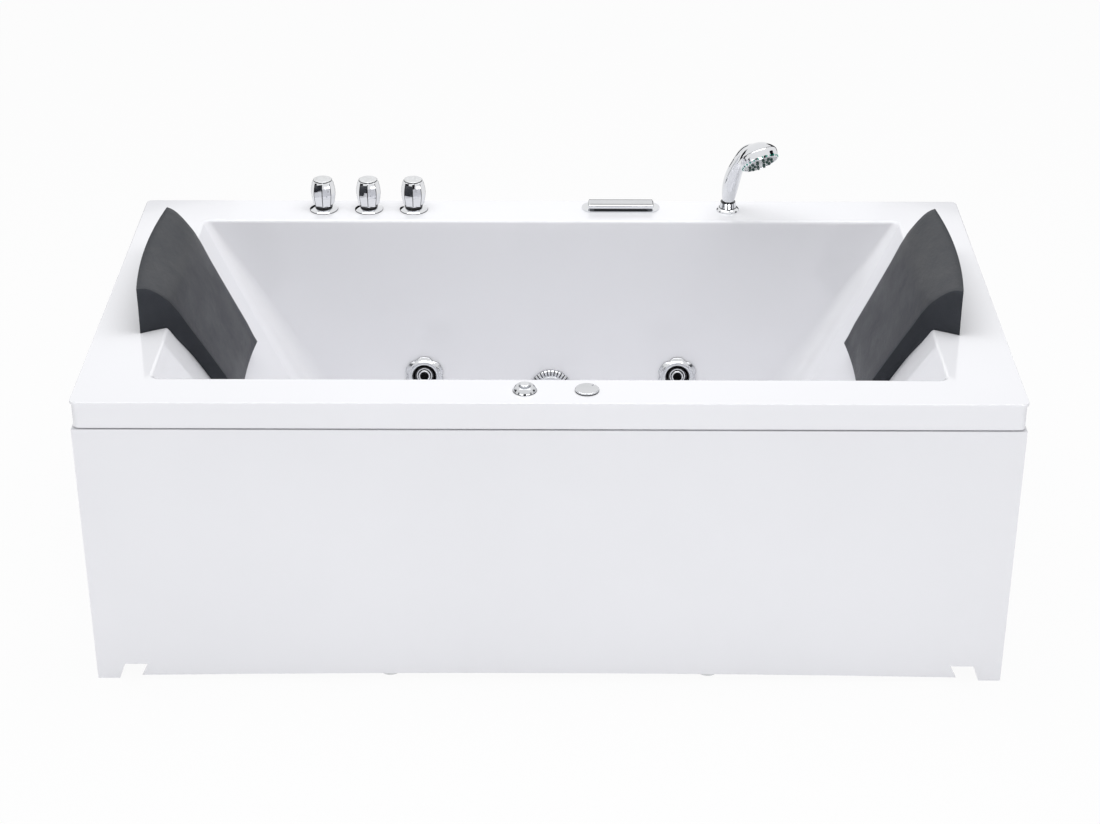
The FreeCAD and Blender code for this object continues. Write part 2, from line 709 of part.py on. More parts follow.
def wall_spot(side, x, z):
    """A fitting's place on the back (+1) or front (-1) basin wall; its axis points into the basin."""
    edge = BASIN_BACK if side > 0 else BASIN_FRONT
    y = edge - side * S.side_slope * (S.rim_height - z)
    return Spot(x, y, z, side * (90 - WALL_ANGLE))


def deck_spot(x):
    """A fitting's place on the back rim."""
    return Spot(x, DECK_Y, S.rim_height)


def control_spot(x):
    """A control's place on the front rim."""
    return Spot(x, CONTROL_Y, S.rim_height)


JETS = [(side, wall_spot(side, x, S.jet_z)) for side in (1, -1) for x in (-S.jet_x, S.jet_x)]
SUCTION = wall_spot(1, 0.0, S.suction_z)
OVERFLOW = wall_spot(-1, 0.0, S.overflow_z)
DRAIN = Spot(0.0, S.drain_y, FLOOR_TOP)
TAPS = [deck_spot(x) for x in (S.hot_x, S.cold_x, S.diverter_x)]
SPOUT = deck_spot(S.spout_x)
SHOWER = deck_spot(S.shower_x)
BUTTON = control_spot(S.button_x)
AIR = control_spot(S.air_x)
PEGS = [(side, S.rest_centre + along * S.peg_spread) for side in (-1, 1) for along in (-1, 1)]

SUCTION_AXIS = SUCTION.at(out=-S.suction_depth)
WATER_BACK = JETS[0][1].at(along=S.water_pipe_rise, out=-S.water_pipe_depth)
WATER_FRONT = JETS[2][1].at(along=-S.water_pipe_rise, out=-S.water_pipe_depth)
AIR_BACK = JETS[0][1].at(along=S.air_pipe_rise, out=-S.air_pipe_depth)
AIR_FRONT = JETS[2][1].at(along=-S.air_pipe_rise, out=-S.air_pipe_depth)


# ---------------------------------------------------------------------------------------------------
# The shell


def basin_section(body, depth, outset):
    """A sketch of the basin at a depth under the rim, moved out by outset."""
    sketch = new_sketch(body, "XY", S.rim_height - depth)
    half = BASIN_HALF - S.end_slope * depth + outset
    front = BASIN_FRONT + S.side_slope * depth - outset
    back = BASIN_BACK - S.side_slope * depth + outset
    corner = S.basin_corner_top if float(depth) == 0 else S.basin_corner_floor
    draw(sketch, rounded_box(-half, front, half, back, corner + outset))
    return sketch


def make_shell():
    body = new_body("shell_body")
    lip = new_sketch(body, "XY", S.rim_height - S.lip_height)
    lip_x, lip_front = HALF_LENGTH - S.bead_reach, S.bead_reach - HALF_WIDTH
    draw(lip, rounded_box(-lip_x, lip_front, lip_x, HALF_WIDTH, S.rim_corner))
    pad(body, lip, S.lip_height)
    bead = new_sketch(body, "XY", S.rim_height - S.bead_height)
    draw(bead, rounded_box(-HALF_LENGTH, -HALF_WIDTH, HALF_LENGTH, HALF_WIDTH, S.rim_corner))
    pad(body, bead, S.bead_height)
    fillet(body, S.rim_edge, lambda point: near(point.z, S.rim_height))
    under = new_sketch(body, "XY", S.rim_height - S.lip_height)
    inner_x, inner_front = lip_x - S.shell_wall, lip_front + S.shell_wall
    draw(under, rounded_box(-inner_x, inner_front, inner_x, HALF_WIDTH - S.shell_wall,
                            S.rim_corner - S.shell_wall))
    pocket(body, under, S.lip_height - S.shell_wall, Reversed=True)
    outside = basin_section(body, 0.0, S.shell_wall)
    outside_floor = basin_section(body, S.basin_depth + S.shell_wall, S.shell_wall)
    bowl = add(body, "AdditiveLoft", outside)
    bowl.Sections = [outside_floor]
    bowl.Ruled = True
    inside = basin_section(body, 0.0, 0.0)
    inside_floor = basin_section(body, S.basin_depth, 0.0)
    hollow = add(body, "SubtractiveLoft", inside)
    hollow.Sections = [inside_floor]
    hollow.Ruled = True
    fillet(body, S.basin_floor_round, lambda point: near(point.z, FLOOR_TOP))
    fillet(body, S.basin_floor_round + S.shell_wall, lambda point: near(point.z, FLOOR_UNDERSIDE))
    mouth_x, mouth_y = BASIN_HALF + 1, BASIN_BACK + 1
    fillet(body, S.basin_edge, lambda point: near(point.z, S.rim_height) and abs(point.x) < mouth_x
           and abs(point.y) < max(mouth_y, 1 - BASIN_FRONT))
    return body


def drill(spot, radius, above=30.0, below=30.0):
    """A cylinder through the shell on a fitting's axis."""
    tool = cylinder("drill", radius + S.hole_gap, above + below)
    return put(tool, spot, out=-below)


def make_tub_shell():
    holes = [drill(spot, S.jet_barrel) for side, spot in JETS]
    holes.append(drill(SUCTION, S.suction_barrel))
    holes.append(drill(OVERFLOW, S.overflow_barrel))
    holes.append(drill(DRAIN, S.drain_tail))
    holes += [drill(spot, S.thread_radius) for spot in TAPS + [SPOUT]]
    holes.append(drill(SHOWER, S.collar_top_radius))
    holes += [drill(spot, S.sleeve_radius) for spot in (BUTTON, AIR)]
    holes += [drill(Spot(side * PEG_X, y, S.rim_height), S.peg_radius) for side, y in PEGS]
    node(cut("tub_shell", make_shell(), *holes), "tub_shell")


# ---------------------------------------------------------------------------------------------------
# Apron and end panels


def make_front_apron():
    body = new_body("apron_body")
    face = new_sketch(body, "XZ", HALF_WIDTH - S.panel_wall)
    foot_top, notch_top = FOOT_INNER - S.notch_lean, NOTCH_INNER - S.notch_lean
    chord = NOTCH_INNER * 2
    arch = chord * chord / (8 * S.apron_arch) + S.apron_arch / 2
    draw(face, [
        (-HALF_LENGTH, PANEL_TOP), (-HALF_LENGTH, 0.0), (-FOOT_INNER, 0.0), (-foot_top, S.notch_top),
        (-notch_top, S.notch_top), (-NOTCH_INNER, S.apron_lift), (NOTCH_INNER, S.apron_lift, -arch),
        (notch_top, S.notch_top), (foot_top, S.notch_top), (FOOT_INNER, 0.0), (HALF_LENGTH, 0.0),
        (HALF_LENGTH, PANEL_TOP)])
    pad(body, face, S.panel_wall)
    back = -HALF_WIDTH + S.panel_wall
    turned_in = back + S.panel_return
    top = new_sketch(body, "XY", PANEL_TOP - S.panel_wall)
    draw(top, [(-HALF_LENGTH, back), (HALF_LENGTH, back), (HALF_LENGTH, turned_in),
               (-HALF_LENGTH, turned_in)])
    pad(body, top, S.panel_wall)
    for start in (-HALF_LENGTH, HALF_LENGTH - S.panel_wall):
        side = new_sketch(body, "YZ", start)
        draw(side, [(back, 0.0), (turned_in, 0.0), (turned_in, PANEL_TOP), (back, PANEL_TOP)])
        pad(body, side, S.panel_wall)
    node(body, "front_apron")


def make_end_panel(side, label):
    body = new_body(f"{label}_body")
    face = new_sketch(body, "YZ", side * HALF_LENGTH - (S.panel_wall if side > 0 else 0.0))
    front, back = -HALF_WIDTH + S.panel_wall + S.panel_return, HALF_WIDTH - S.panel_wall
    lift = S.panel_lift
    draw(face, [(front, PANEL_TOP), (front, 0.0), (front + S.panel_foot, 0.0),
                (front + S.panel_foot, lift), (back - S.panel_foot, lift), (back - S.panel_foot, 0.0),
                (back, 0.0), (back, PANEL_TOP)])
    pad(body, face, S.panel_wall)
    node(body, label)


# ---------------------------------------------------------------------------------------------------
# Headrests


def bulge_radius(chord, bulge):
    """The radius of an arc from its chord and its bulge."""
    return chord * chord / (8 * bulge) + bulge / 2


def mirrored(corners, side):
    """An outline drawn for +X, turned over to the left end for side -1."""
    return [(side * corner[0], corner[1], *[side * radius for radius in corner[2:]])
            for corner in corners]


def rest_plan():
    """The headrest seen from above: it narrows down the slope between hollow sides."""
    front, back = S.rest_centre - S.rest_outer_half, S.rest_centre + S.rest_outer_half
    low_front, low_back = S.rest_centre - S.rest_inner_half, S.rest_centre + S.rest_inner_half
    outer = bulge_radius(2 * S.rest_outer_half, S.rest_bulge)
    inner = bulge_radius(2 * S.rest_inner_half, S.rest_notch)
    return [(REST_INNER, low_front, -inner), (REST_OUTER, front, -S.rest_side_radius),
            (REST_OUTER, back, outer), (REST_INNER, low_back, -S.rest_side_radius)]


def rest_profile():
    """The headrest seen along Y: its underside follows rim and wall, its top rolls over the edge."""
    rim = S.rim_height + S.rest_gap
    top = S.rim_height + S.rest_height
    lift = S.rest_gap * root(1 + 1 / (S.end_slope * S.end_slope))
    corner = BASIN_HALF - S.end_slope * (lift - S.rest_gap)
    end = REST_INNER - S.rest_edge
    end_bottom = S.rim_height + lift - (BASIN_HALF - end) / S.end_slope
    outer = REST_OUTER + S.rest_bulge * 2
    return [(outer, rim), (outer, top), (REST_OUTER - S.rest_top_flat, top),
            (REST_ROLL_END, top - S.rest_roll_drop, S.rest_roll_radius),
            (end, end_bottom + S.rest_end_height, S.rest_slope_radius), (end, end_bottom),
            (corner, rim)]


def round_top(point):
    """True on the edges round the headrest's top, between its underside and the lines across it."""
    x = abs(point.x)
    end_wall = S.rim_height - (BASIN_HALF - x) / S.end_slope
    above = point.z > min(end_wall, S.rim_height) + S.rest_end_height * 0.6
    aside = abs(point.y - S.rest_centre) > S.rest_inner_half * 0.9
    return above and (aside or x > REST_OUTER - 1 or x < REST_INNER + S.rest_notch + 1)


def rest_corner(point):
    """True on the headrest's four upright edges."""
    x, y = abs(point.x), abs(point.y - S.rest_centre)
    return (near(x, REST_OUTER) and near(y, S.rest_outer_half)) or (
        near(x, REST_INNER) and near(y, S.rest_inner_half))


def make_headrests():
    """The left headrest, and the right one as its mirror image."""
    side = -1
    body = new_body("headrest_body")
    plan = new_sketch(body, "XY", FLOOR_TOP)
    draw(plan, mirrored(rest_plan(), side))
    pad(body, plan, S.basin_depth + S.rest_height * 2)
    outline = new_sketch(body, "XZ", -S.rest_centre)
    far, low, high = REST_OUTER * 2, 0.0, S.rim_height * 2
    crease = REST_OUTER - S.rest_top_flat
    draw(outline, mirrored([(0.0, low), (far, low), (far, high), (0.0, high)], side))
    draw(outline, mirrored(rest_profile(), side))
    pocket(body, outline, S.rest_outer_half * 4, SideType="Symmetric")
    top = S.rim_height + S.rest_height
    fillet(body, S.rest_corner, rest_corner)
    fillet(body, S.rest_crown, lambda point: near(point.z, top) and near(side * point.x, crease))
    fillet(body, S.rest_edge, round_top)
    holes = []
    for peg_side, y in PEGS:
        if peg_side == side:
            hole = cylinder("peg_hole", S.peg_radius + S.rest_gap, 2 * S.peg_bite)
            holes.append(put(hole, Spot(side * PEG_X, y, S.rim_height), -S.peg_bite + S.rest_gap))
    left = cut("left_headrest", body, *holes)
    right = doc.addObject("Part::Mirroring", "right_headrest")
    right.Source = left
    right.Normal = Vector(1, 0, 0)
    node(left, "left_headrest")
    node(right, "right_headrest")


def make_headrest_pegs():
    collar = -S.shell_wall - S.peg_collar_height
    profile = [(0.0, S.peg_bite - S.peg_length), (S.peg_radius, S.peg_bite - S.peg_length),
               (S.peg_radius, collar), (S.peg_collar, collar), (S.peg_collar, -S.shell_wall),
               (S.peg_radius, -S.shell_wall), (S.peg_radius, S.peg_bite), (0.0, S.peg_bite)]
    pegs = [put(turned("headrest_peg", profile), Spot(side * PEG_X, y, S.rim_height))
            for side, y in PEGS]
    node(group("headrest_pegs", pegs), "headrest_pegs")


# ---------------------------------------------------------------------------------------------------
# Frame and feet


def square_tube(label, low, high, axis, closed_end=0.0):
    """A square tube between two corners along axis 0, 1 or 2; closed_end leaves a floor at its start."""
    bore_low = [edge + S.tube_wall for edge in low]
    bore_high = [edge - S.tube_wall for edge in high]
    bore_low[axis] = low[axis] + closed_end
    bore_high[axis] = high[axis]
    return cut(label, block_between(f"{label}_outside", low, high),
               block_between(f"{label}_bore", bore_low, bore_high))


def make_frame():
    half = S.tube_side / 2
    rails = [square_tube("frame_rail", (half - LEG_X, side * LEG_Y - half, TUBE_BOTTOM),
                         (LEG_X - half, side * LEG_Y + half, BOARD_UNDERSIDE), 0) for side in (-1, 1)]
    node(group("frame_rails", rails), "frame_rails")
    places = [step * S.cross_pitch for step in (-2.5, -1.5, -0.5, 0.5, 1.5, 2.5)] + [-LEG_X, LEG_X]
    tubes = [square_tube("frame_cross_tube", (x - half, half - LEG_Y, TUBE_BOTTOM),
                         (x + half, LEG_Y - half, BOARD_UNDERSIDE), 1) for x in places]
    node(group("frame_cross_tubes", tubes), "frame_cross_tubes")


def leg_places():
    """The corner legs reach the rim, the short middle ones the long rails."""
    corners = [(x, y, RIM_UNDERSIDE) for x in (-LEG_X, LEG_X) for y in (-LEG_Y, LEG_Y)]
    middles = [(x, y, TUBE_BOTTOM) for x in (-S.mid_leg_x, S.mid_leg_x) for y in (-LEG_Y, LEG_Y)]
    return corners + middles


def make_legs_and_feet():
    half = S.tube_side / 2
    legs, feet, nuts = [], [], []
    bolt_hole = S.foot_bolt + S.running_gap
    foot_profile = [(0.0, 0.0), (S.foot_radius, 0.0), (S.foot_radius, S.foot_height / 3),
                    (S.foot_bolt * 1.5, S.foot_height), (S.foot_bolt, S.foot_height),
                    (S.foot_bolt, S.foot_bolt_top), (0.0, S.foot_bolt_top)]
    for x, y, top in leg_places():
        tube = square_tube("frame_leg_tube", (x - half, y - half, S.leg_bottom),
                           (x + half, y + half, top), 2, 3 * S.tube_wall)
        hole = put(cylinder("foot_hole", bolt_hole, S.tube_side), Spot(x, y, S.leg_bottom - half))
        legs.append(cut("frame_leg", tube, hole))
        feet.append(put(turned("levelling_foot", foot_profile), Spot(x, y, 0.0)))
        lock_nut = nut("foot_lock_nut", S.foot_nut, bolt_hole, S.foot_nut_height)
        nuts.append(put(lock_nut, Spot(x, y, S.leg_bottom - S.foot_nut_height)))
    node(group("frame_legs", legs), "frame_legs")
    node(group("levelling_feet", feet), "levelling_feet")
    node(group("foot_lock_nuts", nuts), "foot_lock_nuts")


def make_base_board():
    middle = (BASIN_FRONT + BASIN_BACK) / 2
    low = (-S.board_length / 2, middle - S.board_width / 2, BOARD_UNDERSIDE)
    high = (S.board_length / 2, middle + S.board_width / 2, FLOOR_UNDERSIDE)
    hole = put(cylinder("waste_hole", S.board_hole, S.board_height * 3), DRAIN, -S.board_height * 2)
    node(cut("base_board", block_between("board", low, high), hole), "base_board")


def make_panel_spacers():
    """Blocks between the corner legs and the panels' inner faces."""
    half = S.tube_side / 2
    panel_x, panel_y = HALF_LENGTH - S.panel_wall, HALF_WIDTH - S.panel_wall
    spacers = []
    for bottom in (S.bracket_low, S.bracket_high):
        top = bottom + S.bracket_height
        for x in (-LEG_X, LEG_X):
            spacers.append(block_between("apron_spacer", (x - half, -panel_y, bottom),
                                         (x + half, -LEG_Y - half, top)))
        for y in (-LEG_Y, LEG_Y):
            spacers.append(block_between("left_spacer", (-panel_x, y - half, bottom),
                                         (-LEG_X - half, y + half, top)))
            spacers.append(block_between("right_spacer", (LEG_X + half, y - half, bottom),
                                         (panel_x, y + half, top)))
    node(group("panel_spacers", spacers), "panel_spacers")


# ---------------------------------------------------------------------------------------------------
# Taps, supply pipes and spout


def make_knob(spot, label):
    """An eight-sided barrel with its spindle; one corner faces the bather."""
    body = new_body(f"{label}_body")
    sections = []
    for height, radius in ((S.knob_bottom, S.knob_bottom_radius), (S.knob_waist, S.knob_waist_radius),
                           (S.knob_top, S.knob_top_radius)):
        sketch = new_sketch(body, "XY", height)
        draw(sketch, polygon(8, radius))
        sections.append(sketch)
    barrel = add(body, "AdditiveLoft", sections[0])
    barrel.Sections = sections[1:]
    stem = new_sketch(body, "XZ")
    neck = S.flange_height + S.seat_gap
    draw(stem, [(0.0, -S.spindle_length), (S.spindle_radius, -S.spindle_length),
                (S.spindle_radius, neck), (S.knob_neck, neck), (S.knob_neck, S.knob_bottom + 1),
                (0.0, S.knob_bottom + 1)])
    turning = add(body, "Revolution", stem)
    turning.ReferenceAxis = (stem, ["V_Axis"])
    turning.Angle = 360
    node(put(body, spot), label)


def make_knob_flanges():
    """The cover flanges on the deck, under the three knobs and under the spout."""
    bore = S.thread_radius + S.seat_gap
    shoulder = S.knob_neck + S.seat_gap
    edge = S.flange_height / 4
    profile = [(bore, 0.0), (S.flange_radius, 0.0), (S.flange_radius, edge),
               (shoulder, S.flange_height, S.flange_radius), (bore, S.flange_height)]
    flanges = [put(turned("knob_flange", profile), spot) for spot in TAPS]
    body = new_body("spout_flange")
    plan = new_sketch(body, "XY", S.rim_height)
    reach = S.spout_width / 2 + S.spout_flange_margin
    draw(plan, rounded_box(S.spout_x - reach, SPOUT_FRONT, S.spout_x + reach,
                           SPOUT_FRONT + S.spout_flange_depth, S.spout_flange_corner))
    draw_circle(plan, SPOUT.x, SPOUT.y, bore)
    pad(body, plan, S.spout_flange_height)
    node(group("knob_flanges", flanges + [body]), "knob_flanges")


def make_valve_bodies():
    bottom = -S.valve_top - S.valve_length
    bore = S.spindle_radius + S.running_gap
    sleeve_top = S.flange_height - 1
    bore_end = -S.spindle_length - 1
    inlet = [(0.0, bottom - S.inlet_length), (S.inlet_radius, bottom - S.inlet_length),
             (S.inlet_radius, bottom)]
    body = [(S.valve_radius, bottom), (S.valve_radius, -S.valve_top),
            (S.thread_radius, -S.valve_top), (S.thread_radius, sleeve_top), (bore, sleeve_top),
            (bore, bore_end), (0.0, bore_end)]
    hot, cold, diverter = TAPS
    bodies = [put(turned("valve_body", inlet + body), spot) for spot in (hot, cold)]
    bodies.append(put(turned("diverter_body", [(0.0, bottom)] + body), diverter))
    node(group("valve_bodies", bodies), "valve_bodies")


def make_deck_nuts():
    fittings = [(spot, S.thread_radius) for spot in TAPS + [SPOUT]]
    fittings += [(SHOWER, S.collar_top_radius), (BUTTON, S.sleeve_radius), (AIR, S.sleeve_radius)]
    nuts = []
    for spot, radius in fittings:
        flats = 2 * (radius + S.deck_nut_margin)
        piece = nut("deck_nut", flats, radius + S.seat_gap, S.deck_nut_height)
        nuts.append(put(piece, spot, -S.shell_wall - S.deck_nut_height))
    node(group("deck_nuts", nuts), "deck_nuts")


def straight_pipe(label, start, end, y, z, radius, wall):
    """An open pipe along X."""
    outside = lay(cylinder(f"{label}_outside", radius, end - start), start, y, z)
    inside = lay(cylinder(f"{label}_inside", radius - wall, end - start), start, y, z)
    return cut(label, outside, inside)


def make_supply_pipes():
    reach = S.valve_radius + S.seat_gap
    level = S.rim_height - S.spout_line
    runs = [(S.hot_x + reach, S.cold_x - reach), (S.cold_x + reach, S.diverter_x - reach),
            (S.diverter_x + reach, S.spout_x - S.thread_radius - S.seat_gap)]
    pipes = [straight_pipe("supply_run", start, end, DECK_Y, level, S.supply_radius, S.supply_wall)
             for start, end in runs]
    start, low = S.diverter_x + reach, S.rim_height - S.shower_line
    line = new_body("shower_line")
    path = [(start, low), (S.shower_x - S.supply_bend, low),
            (S.shower_x, low + S.supply_bend, S.supply_bend), (S.shower_x, S.rim_height - S.socket_shank)]
    swept_pipe(line, "XZ", -DECK_Y, path, "YZ", start, (DECK_Y, low), S.supply_radius, S.supply_wall)
    node(group("supply_pipes", pipes + [line]), "supply_pipes")


def make_spout():
    body = new_body("spout_bar")
    plan = new_sketch(body, "XY", S.rim_height + S.spout_height - S.spout_plate)
    left, right = S.spout_x - S.spout_width / 2, S.spout_x + S.spout_width / 2
    back = SPOUT_FRONT + S.spout_depth
    draw(plan, rounded_box(left, SPOUT_FRONT, right, back, S.spout_round * 2))
    pad(body, plan, S.spout_plate)
    top = S.rim_height + S.spout_height
    fillet(body, S.spout_round, lambda point: near(point.z, top))
    node(body, "spout_body")
    base = new_body("spout_plinth")
    foot = new_sketch(base, "XY", S.rim_height + S.spout_flange_height)
    inset = S.spout_base_inset
    draw(foot, rounded_box(left + inset, SPOUT_FRONT + inset, right - inset, back - inset, S.spout_round))
    pad(base, foot, S.spout_height - S.spout_plate - S.spout_flange_height)
    slot = new_sketch(base, "XZ", -SPOUT_FRONT - inset)
    slot_top = top - S.spout_plate - S.spout_round
    draw(slot, [(S.spout_x - S.slot_width / 2, slot_top - S.slot_height),
                (S.spout_x + S.slot_width / 2, slot_top - S.slot_height),
                (S.spout_x + S.slot_width / 2, slot_top), (S.spout_x - S.slot_width / 2, slot_top)])
    pocket(base, slot, S.slot_depth)
    profile = ring(S.shank_bore, S.thread_radius, -S.shank_length, S.spout_flange_height)
    shank = put(turned("spout_shank", profile), SPOUT)
    node(fused("spout_base", base, shank), "spout_base")


# ---------------------------------------------------------------------------------------------------
# Hand shower: built standing on its socket with its face towards +X, then turned to the basin


def lean(item, forward, up, angle):
    """Places a piece of the hand shower in the shower's own upright plane."""
    return move(item, (forward, 0.0, up), Vector(0, 1, 0), angle)


def stand(item):
    """Stands the hand shower's piece in the socket and turns it towards the basin."""
    return move(item, (SHOWER.x, SHOWER.y, SHOWER.z), Vector(0, 0, 1), S.shower_turn - 90)


def to_head(item):
    return lean(item, S.head_forward, S.head_up, 180 - S.head_tilt)


def handle_section(angle, radius):
    """A round section of the handle where it has bent forward by angle."""
    section = doc.addObject("Part::Circle", "handle_section")
    bind(section, "Radius", radius)
    forward = S.handle_bend * (1 - cosine(angle))
    up = S.collar_seat + S.seat_gap + S.handle_bend * sine(angle)
    return lean(section, forward, up, angle)


def make_shower_handle():
    foot = cylinder("handle_foot", S.handle_foot, S.collar_height)
    move(foot, (0.0, 0.0, S.collar_seat + S.seat_gap))
    steps = [(0.11, S.handle_foot), (0.3, S.handle_grip), (0.6, S.handle_grip), (0.86, S.handle_neck),
             (1.0, S.handle_neck), (1.12, S.handle_neck * 0.85), (1.25, S.handle_neck * 0.45)]
    handle = doc.addObject("Part::Loft", "shower_grip")
    handle.Sections = [handle_section(S.neck_lean * share, radius) for share, radius in steps]
    handle.Solid = True
    bore = S.face_spigot + S.running_gap
    depth = -S.face_spigot_length - 1
    dome = dome_radius(S.head_radius, S.head_dome)
    head = to_head(turned("shower_head", [
        (0.0, -S.head_dome), (S.head_radius, 0.0, dome), (bore, 0.0), (bore, depth), (0.0, depth)]))
    node(stand(fused("shower_handle", foot, handle, head)), "shower_handle")


def make_shower_face():
    front = S.face_height - 1.5
    profile = [(0.0, -S.face_spigot_length), (S.face_spigot, -S.face_spigot_length),
               (S.face_spigot, S.seat_gap), (S.head_radius, S.seat_gap),
               (S.head_radius, S.face_height / 2), (S.face_plate + 2, S.face_height, S.face_height),
               (S.face_plate, front), (0.0, front)]
    face = to_head(turned("face_ring", profile))
    node(stand(group("shower_face", [face])), "shower_face")
    nozzles = []
    for count, circle in ((int(S.nozzle_count), S.nozzle_circle), (6, S.nozzle_circle / 2)):
        for x, y in polygon(count, circle):
            nozzle = cylinder("spray_nozzle", S.nozzle_radius, S.nozzle_length)
            nozzles.append(move(nozzle, (x, y, front)))
    tab = cylinder("selector_tab", S.face_height / 4, S.nozzle_length / 2)
    nozzles.append(move(tab, (0.0, -S.head_radius - S.seat_gap, S.face_height / 2 - 0.5),
                        Vector(1, 0, 0), 90.0))
    rubber = to_head(group("rubber_pieces", nozzles))
    node(stand(group("shower_nozzles", [rubber])), "shower_nozzles")


def make_shower_socket():
    bore = S.handle_foot + S.seat_gap
    way = S.handle_foot - 4
    dome = S.socket_radius - S.collar_radius
    profile = [(way, -S.socket_shank), (S.collar_top_radius, -S.socket_shank),
               (S.collar_top_radius, 0.0), (S.socket_radius, 0.0), (S.socket_radius, 1.5),
               (S.collar_radius, S.socket_dome, dome + 2), (S.collar_top_radius, S.collar_height),
               (bore, S.collar_height), (bore, S.collar_seat), (way, S.collar_seat)]
    node(put(turned("socket", profile), SHOWER), "shower_socket")


# ---------------------------------------------------------------------------------------------------
# Push button and air control


def make_push_button():
    sleeve_bore = S.sleeve_radius - S.sleeve_wall
    bore = S.cap_radius + S.seat_gap
    bottom = -S.sleeve_length
    recess = S.bezel_height - 2
    profile = [(0.0, bottom - S.barb_length), (S.barb_radius, bottom - S.barb_length),
               (S.barb_radius, bottom), (S.sleeve_radius, bottom), (S.sleeve_radius, 0.0),
               (S.bezel_radius, 0.0), (S.bezel_radius, 1.0), (S.cap_radius + 6, S.bezel_height, 14),
               (S.cap_radius + 2, S.bezel_height), (bore, recess), (bore, -S.shell_wall),
               (sleeve_bore, -S.shell_wall), (sleeve_bore, bottom + S.sleeve_wall),
               (0.0, bottom + S.sleeve_wall)]
    node(put(turned("bezel", profile), BUTTON), "button_bezel")
    top = S.bezel_height + S.cap_rise
    stem_end = -S.sleeve_length / 2
    cap = [(0.0, stem_end), (S.spindle_radius, stem_end), (S.spindle_radius, -2.0),
           (S.cap_radius, -2.0), (S.cap_radius, top - 2), (S.cap_radius - 2, top, 2), (0.0, top)]
    node(put(turned("cap", cap), BUTTON), "button_cap")
    low, high = bottom + S.sleeve_wall, stem_end - S.seat_gap
    wide, narrow = sleeve_bore - 2, sleeve_bore - 5
    pitch = (high - low) / 6
    folds = [(0.0, low)] + [(wide if step % 2 else narrow, low + step * pitch) for step in range(7)]
    node(put(turned("bellows", folds + [(0.0, high)]), BUTTON), "button_bellows")


def make_air_control():
    bore = S.spindle_radius + S.running_gap
    bottom = -S.sleeve_length
    bore_end = -S.sleeve_length / 2
    profile = [(0.0, bottom - S.barb_length), (S.barb_radius, bottom - S.barb_length),
               (S.barb_radius, bottom), (S.sleeve_radius, bottom), (S.sleeve_radius, 0.0),
               (S.air_knob_radius, 0.0), (S.air_knob_radius, S.air_ring_height),
               (bore, S.air_ring_height), (bore, bore_end), (0.0, bore_end)]
    node(put(turned("air_body", profile), AIR), "air_control_body")
    low, high = S.air_ring_height + S.seat_gap, S.air_ring_height + S.air_knob_height
    stem_end = bore_end + 1
    dish = dome_radius(S.air_knob_radius - 1, S.air_knob_dish)
    knob = turned("air_dial", [
        (0.0, stem_end), (S.spindle_radius, stem_end), (S.spindle_radius, low),
        (S.air_knob_radius - 0.5, low), (S.air_knob_radius, low + 0.5), (S.air_knob_radius, high - 1),
        (S.air_knob_radius - 1, high, 1), (0.0, high - S.air_knob_dish, -dish)])
    mark = new_sketch(knob, "XY", high)
    draw(mark, [(S.air_knob_radius - 7, -1.5), (S.air_knob_radius + 1, -1.5),
                (S.air_knob_radius + 1, 1.5), (S.air_knob_radius - 7, 1.5)])
    pocket(knob, mark, 1.5)
    node(move(knob, (AIR.x, AIR.y, AIR.z), Vector(0, 0, 1), 50.0), "air_knob")


# ---------------------------------------------------------------------------------------------------
# Jets, suction and manifolds


def branch(label, side, spot, depth, low, high, radius):
    """A round stub that climbs the wall beside a fitting, from low to high above its axis."""
    point = spot.at(along=side * low, out=-depth)
    return put(cylinder(label, radius, high - low), Spot(*point, spot.tilt - side * 90))


def make_jet_rings():
    low = S.seat_gap
    shoulder = S.jet_flange + S.seat_gap
    step = S.jet_flange_height + S.seat_gap
    top = S.jet_ring_height
    profile = [(shoulder, low), (S.jet_ring_radius, low), (S.jet_ring_radius, top / 2),
               (S.jet_ring_radius - top / 2, top, top / 2), (S.jet_ring_bore + 3, top),
               (S.jet_ring_bore, top - 3), (S.jet_ring_bore, step), (shoulder, step)]
    for number, (_, spot) in enumerate(JETS, start=1):
        body = turned("jet_ring_body", profile)
        sketch = new_sketch(body, "XY")
        draw_circle(sketch, S.jet_ring_radius + S.scallop_radius - S.scallop_depth, 0.0, S.scallop_radius)
        scallop = pocket(body, sketch, S.jet_ring_height * 4, SideType="Symmetric")
        pattern(body, scallop, S.jet_lobes)
        node(put(body, spot), f"jet_ring_{number}")


def make_jet_nozzles():
    face = S.ball_front
    waist = root(S.ball_radius * S.ball_radius - face * face)
    profile = [(S.nozzle_bore, -face), (waist, -face), (waist, face, S.ball_radius),
               (waist - 4, face), (S.nozzle_bore, face / 2)]
    for number, (_, spot) in enumerate(JETS, start=1):
        node(put(turned("jet_ball", profile), spot, -S.ball_sink), f"jet_nozzle_{number}")


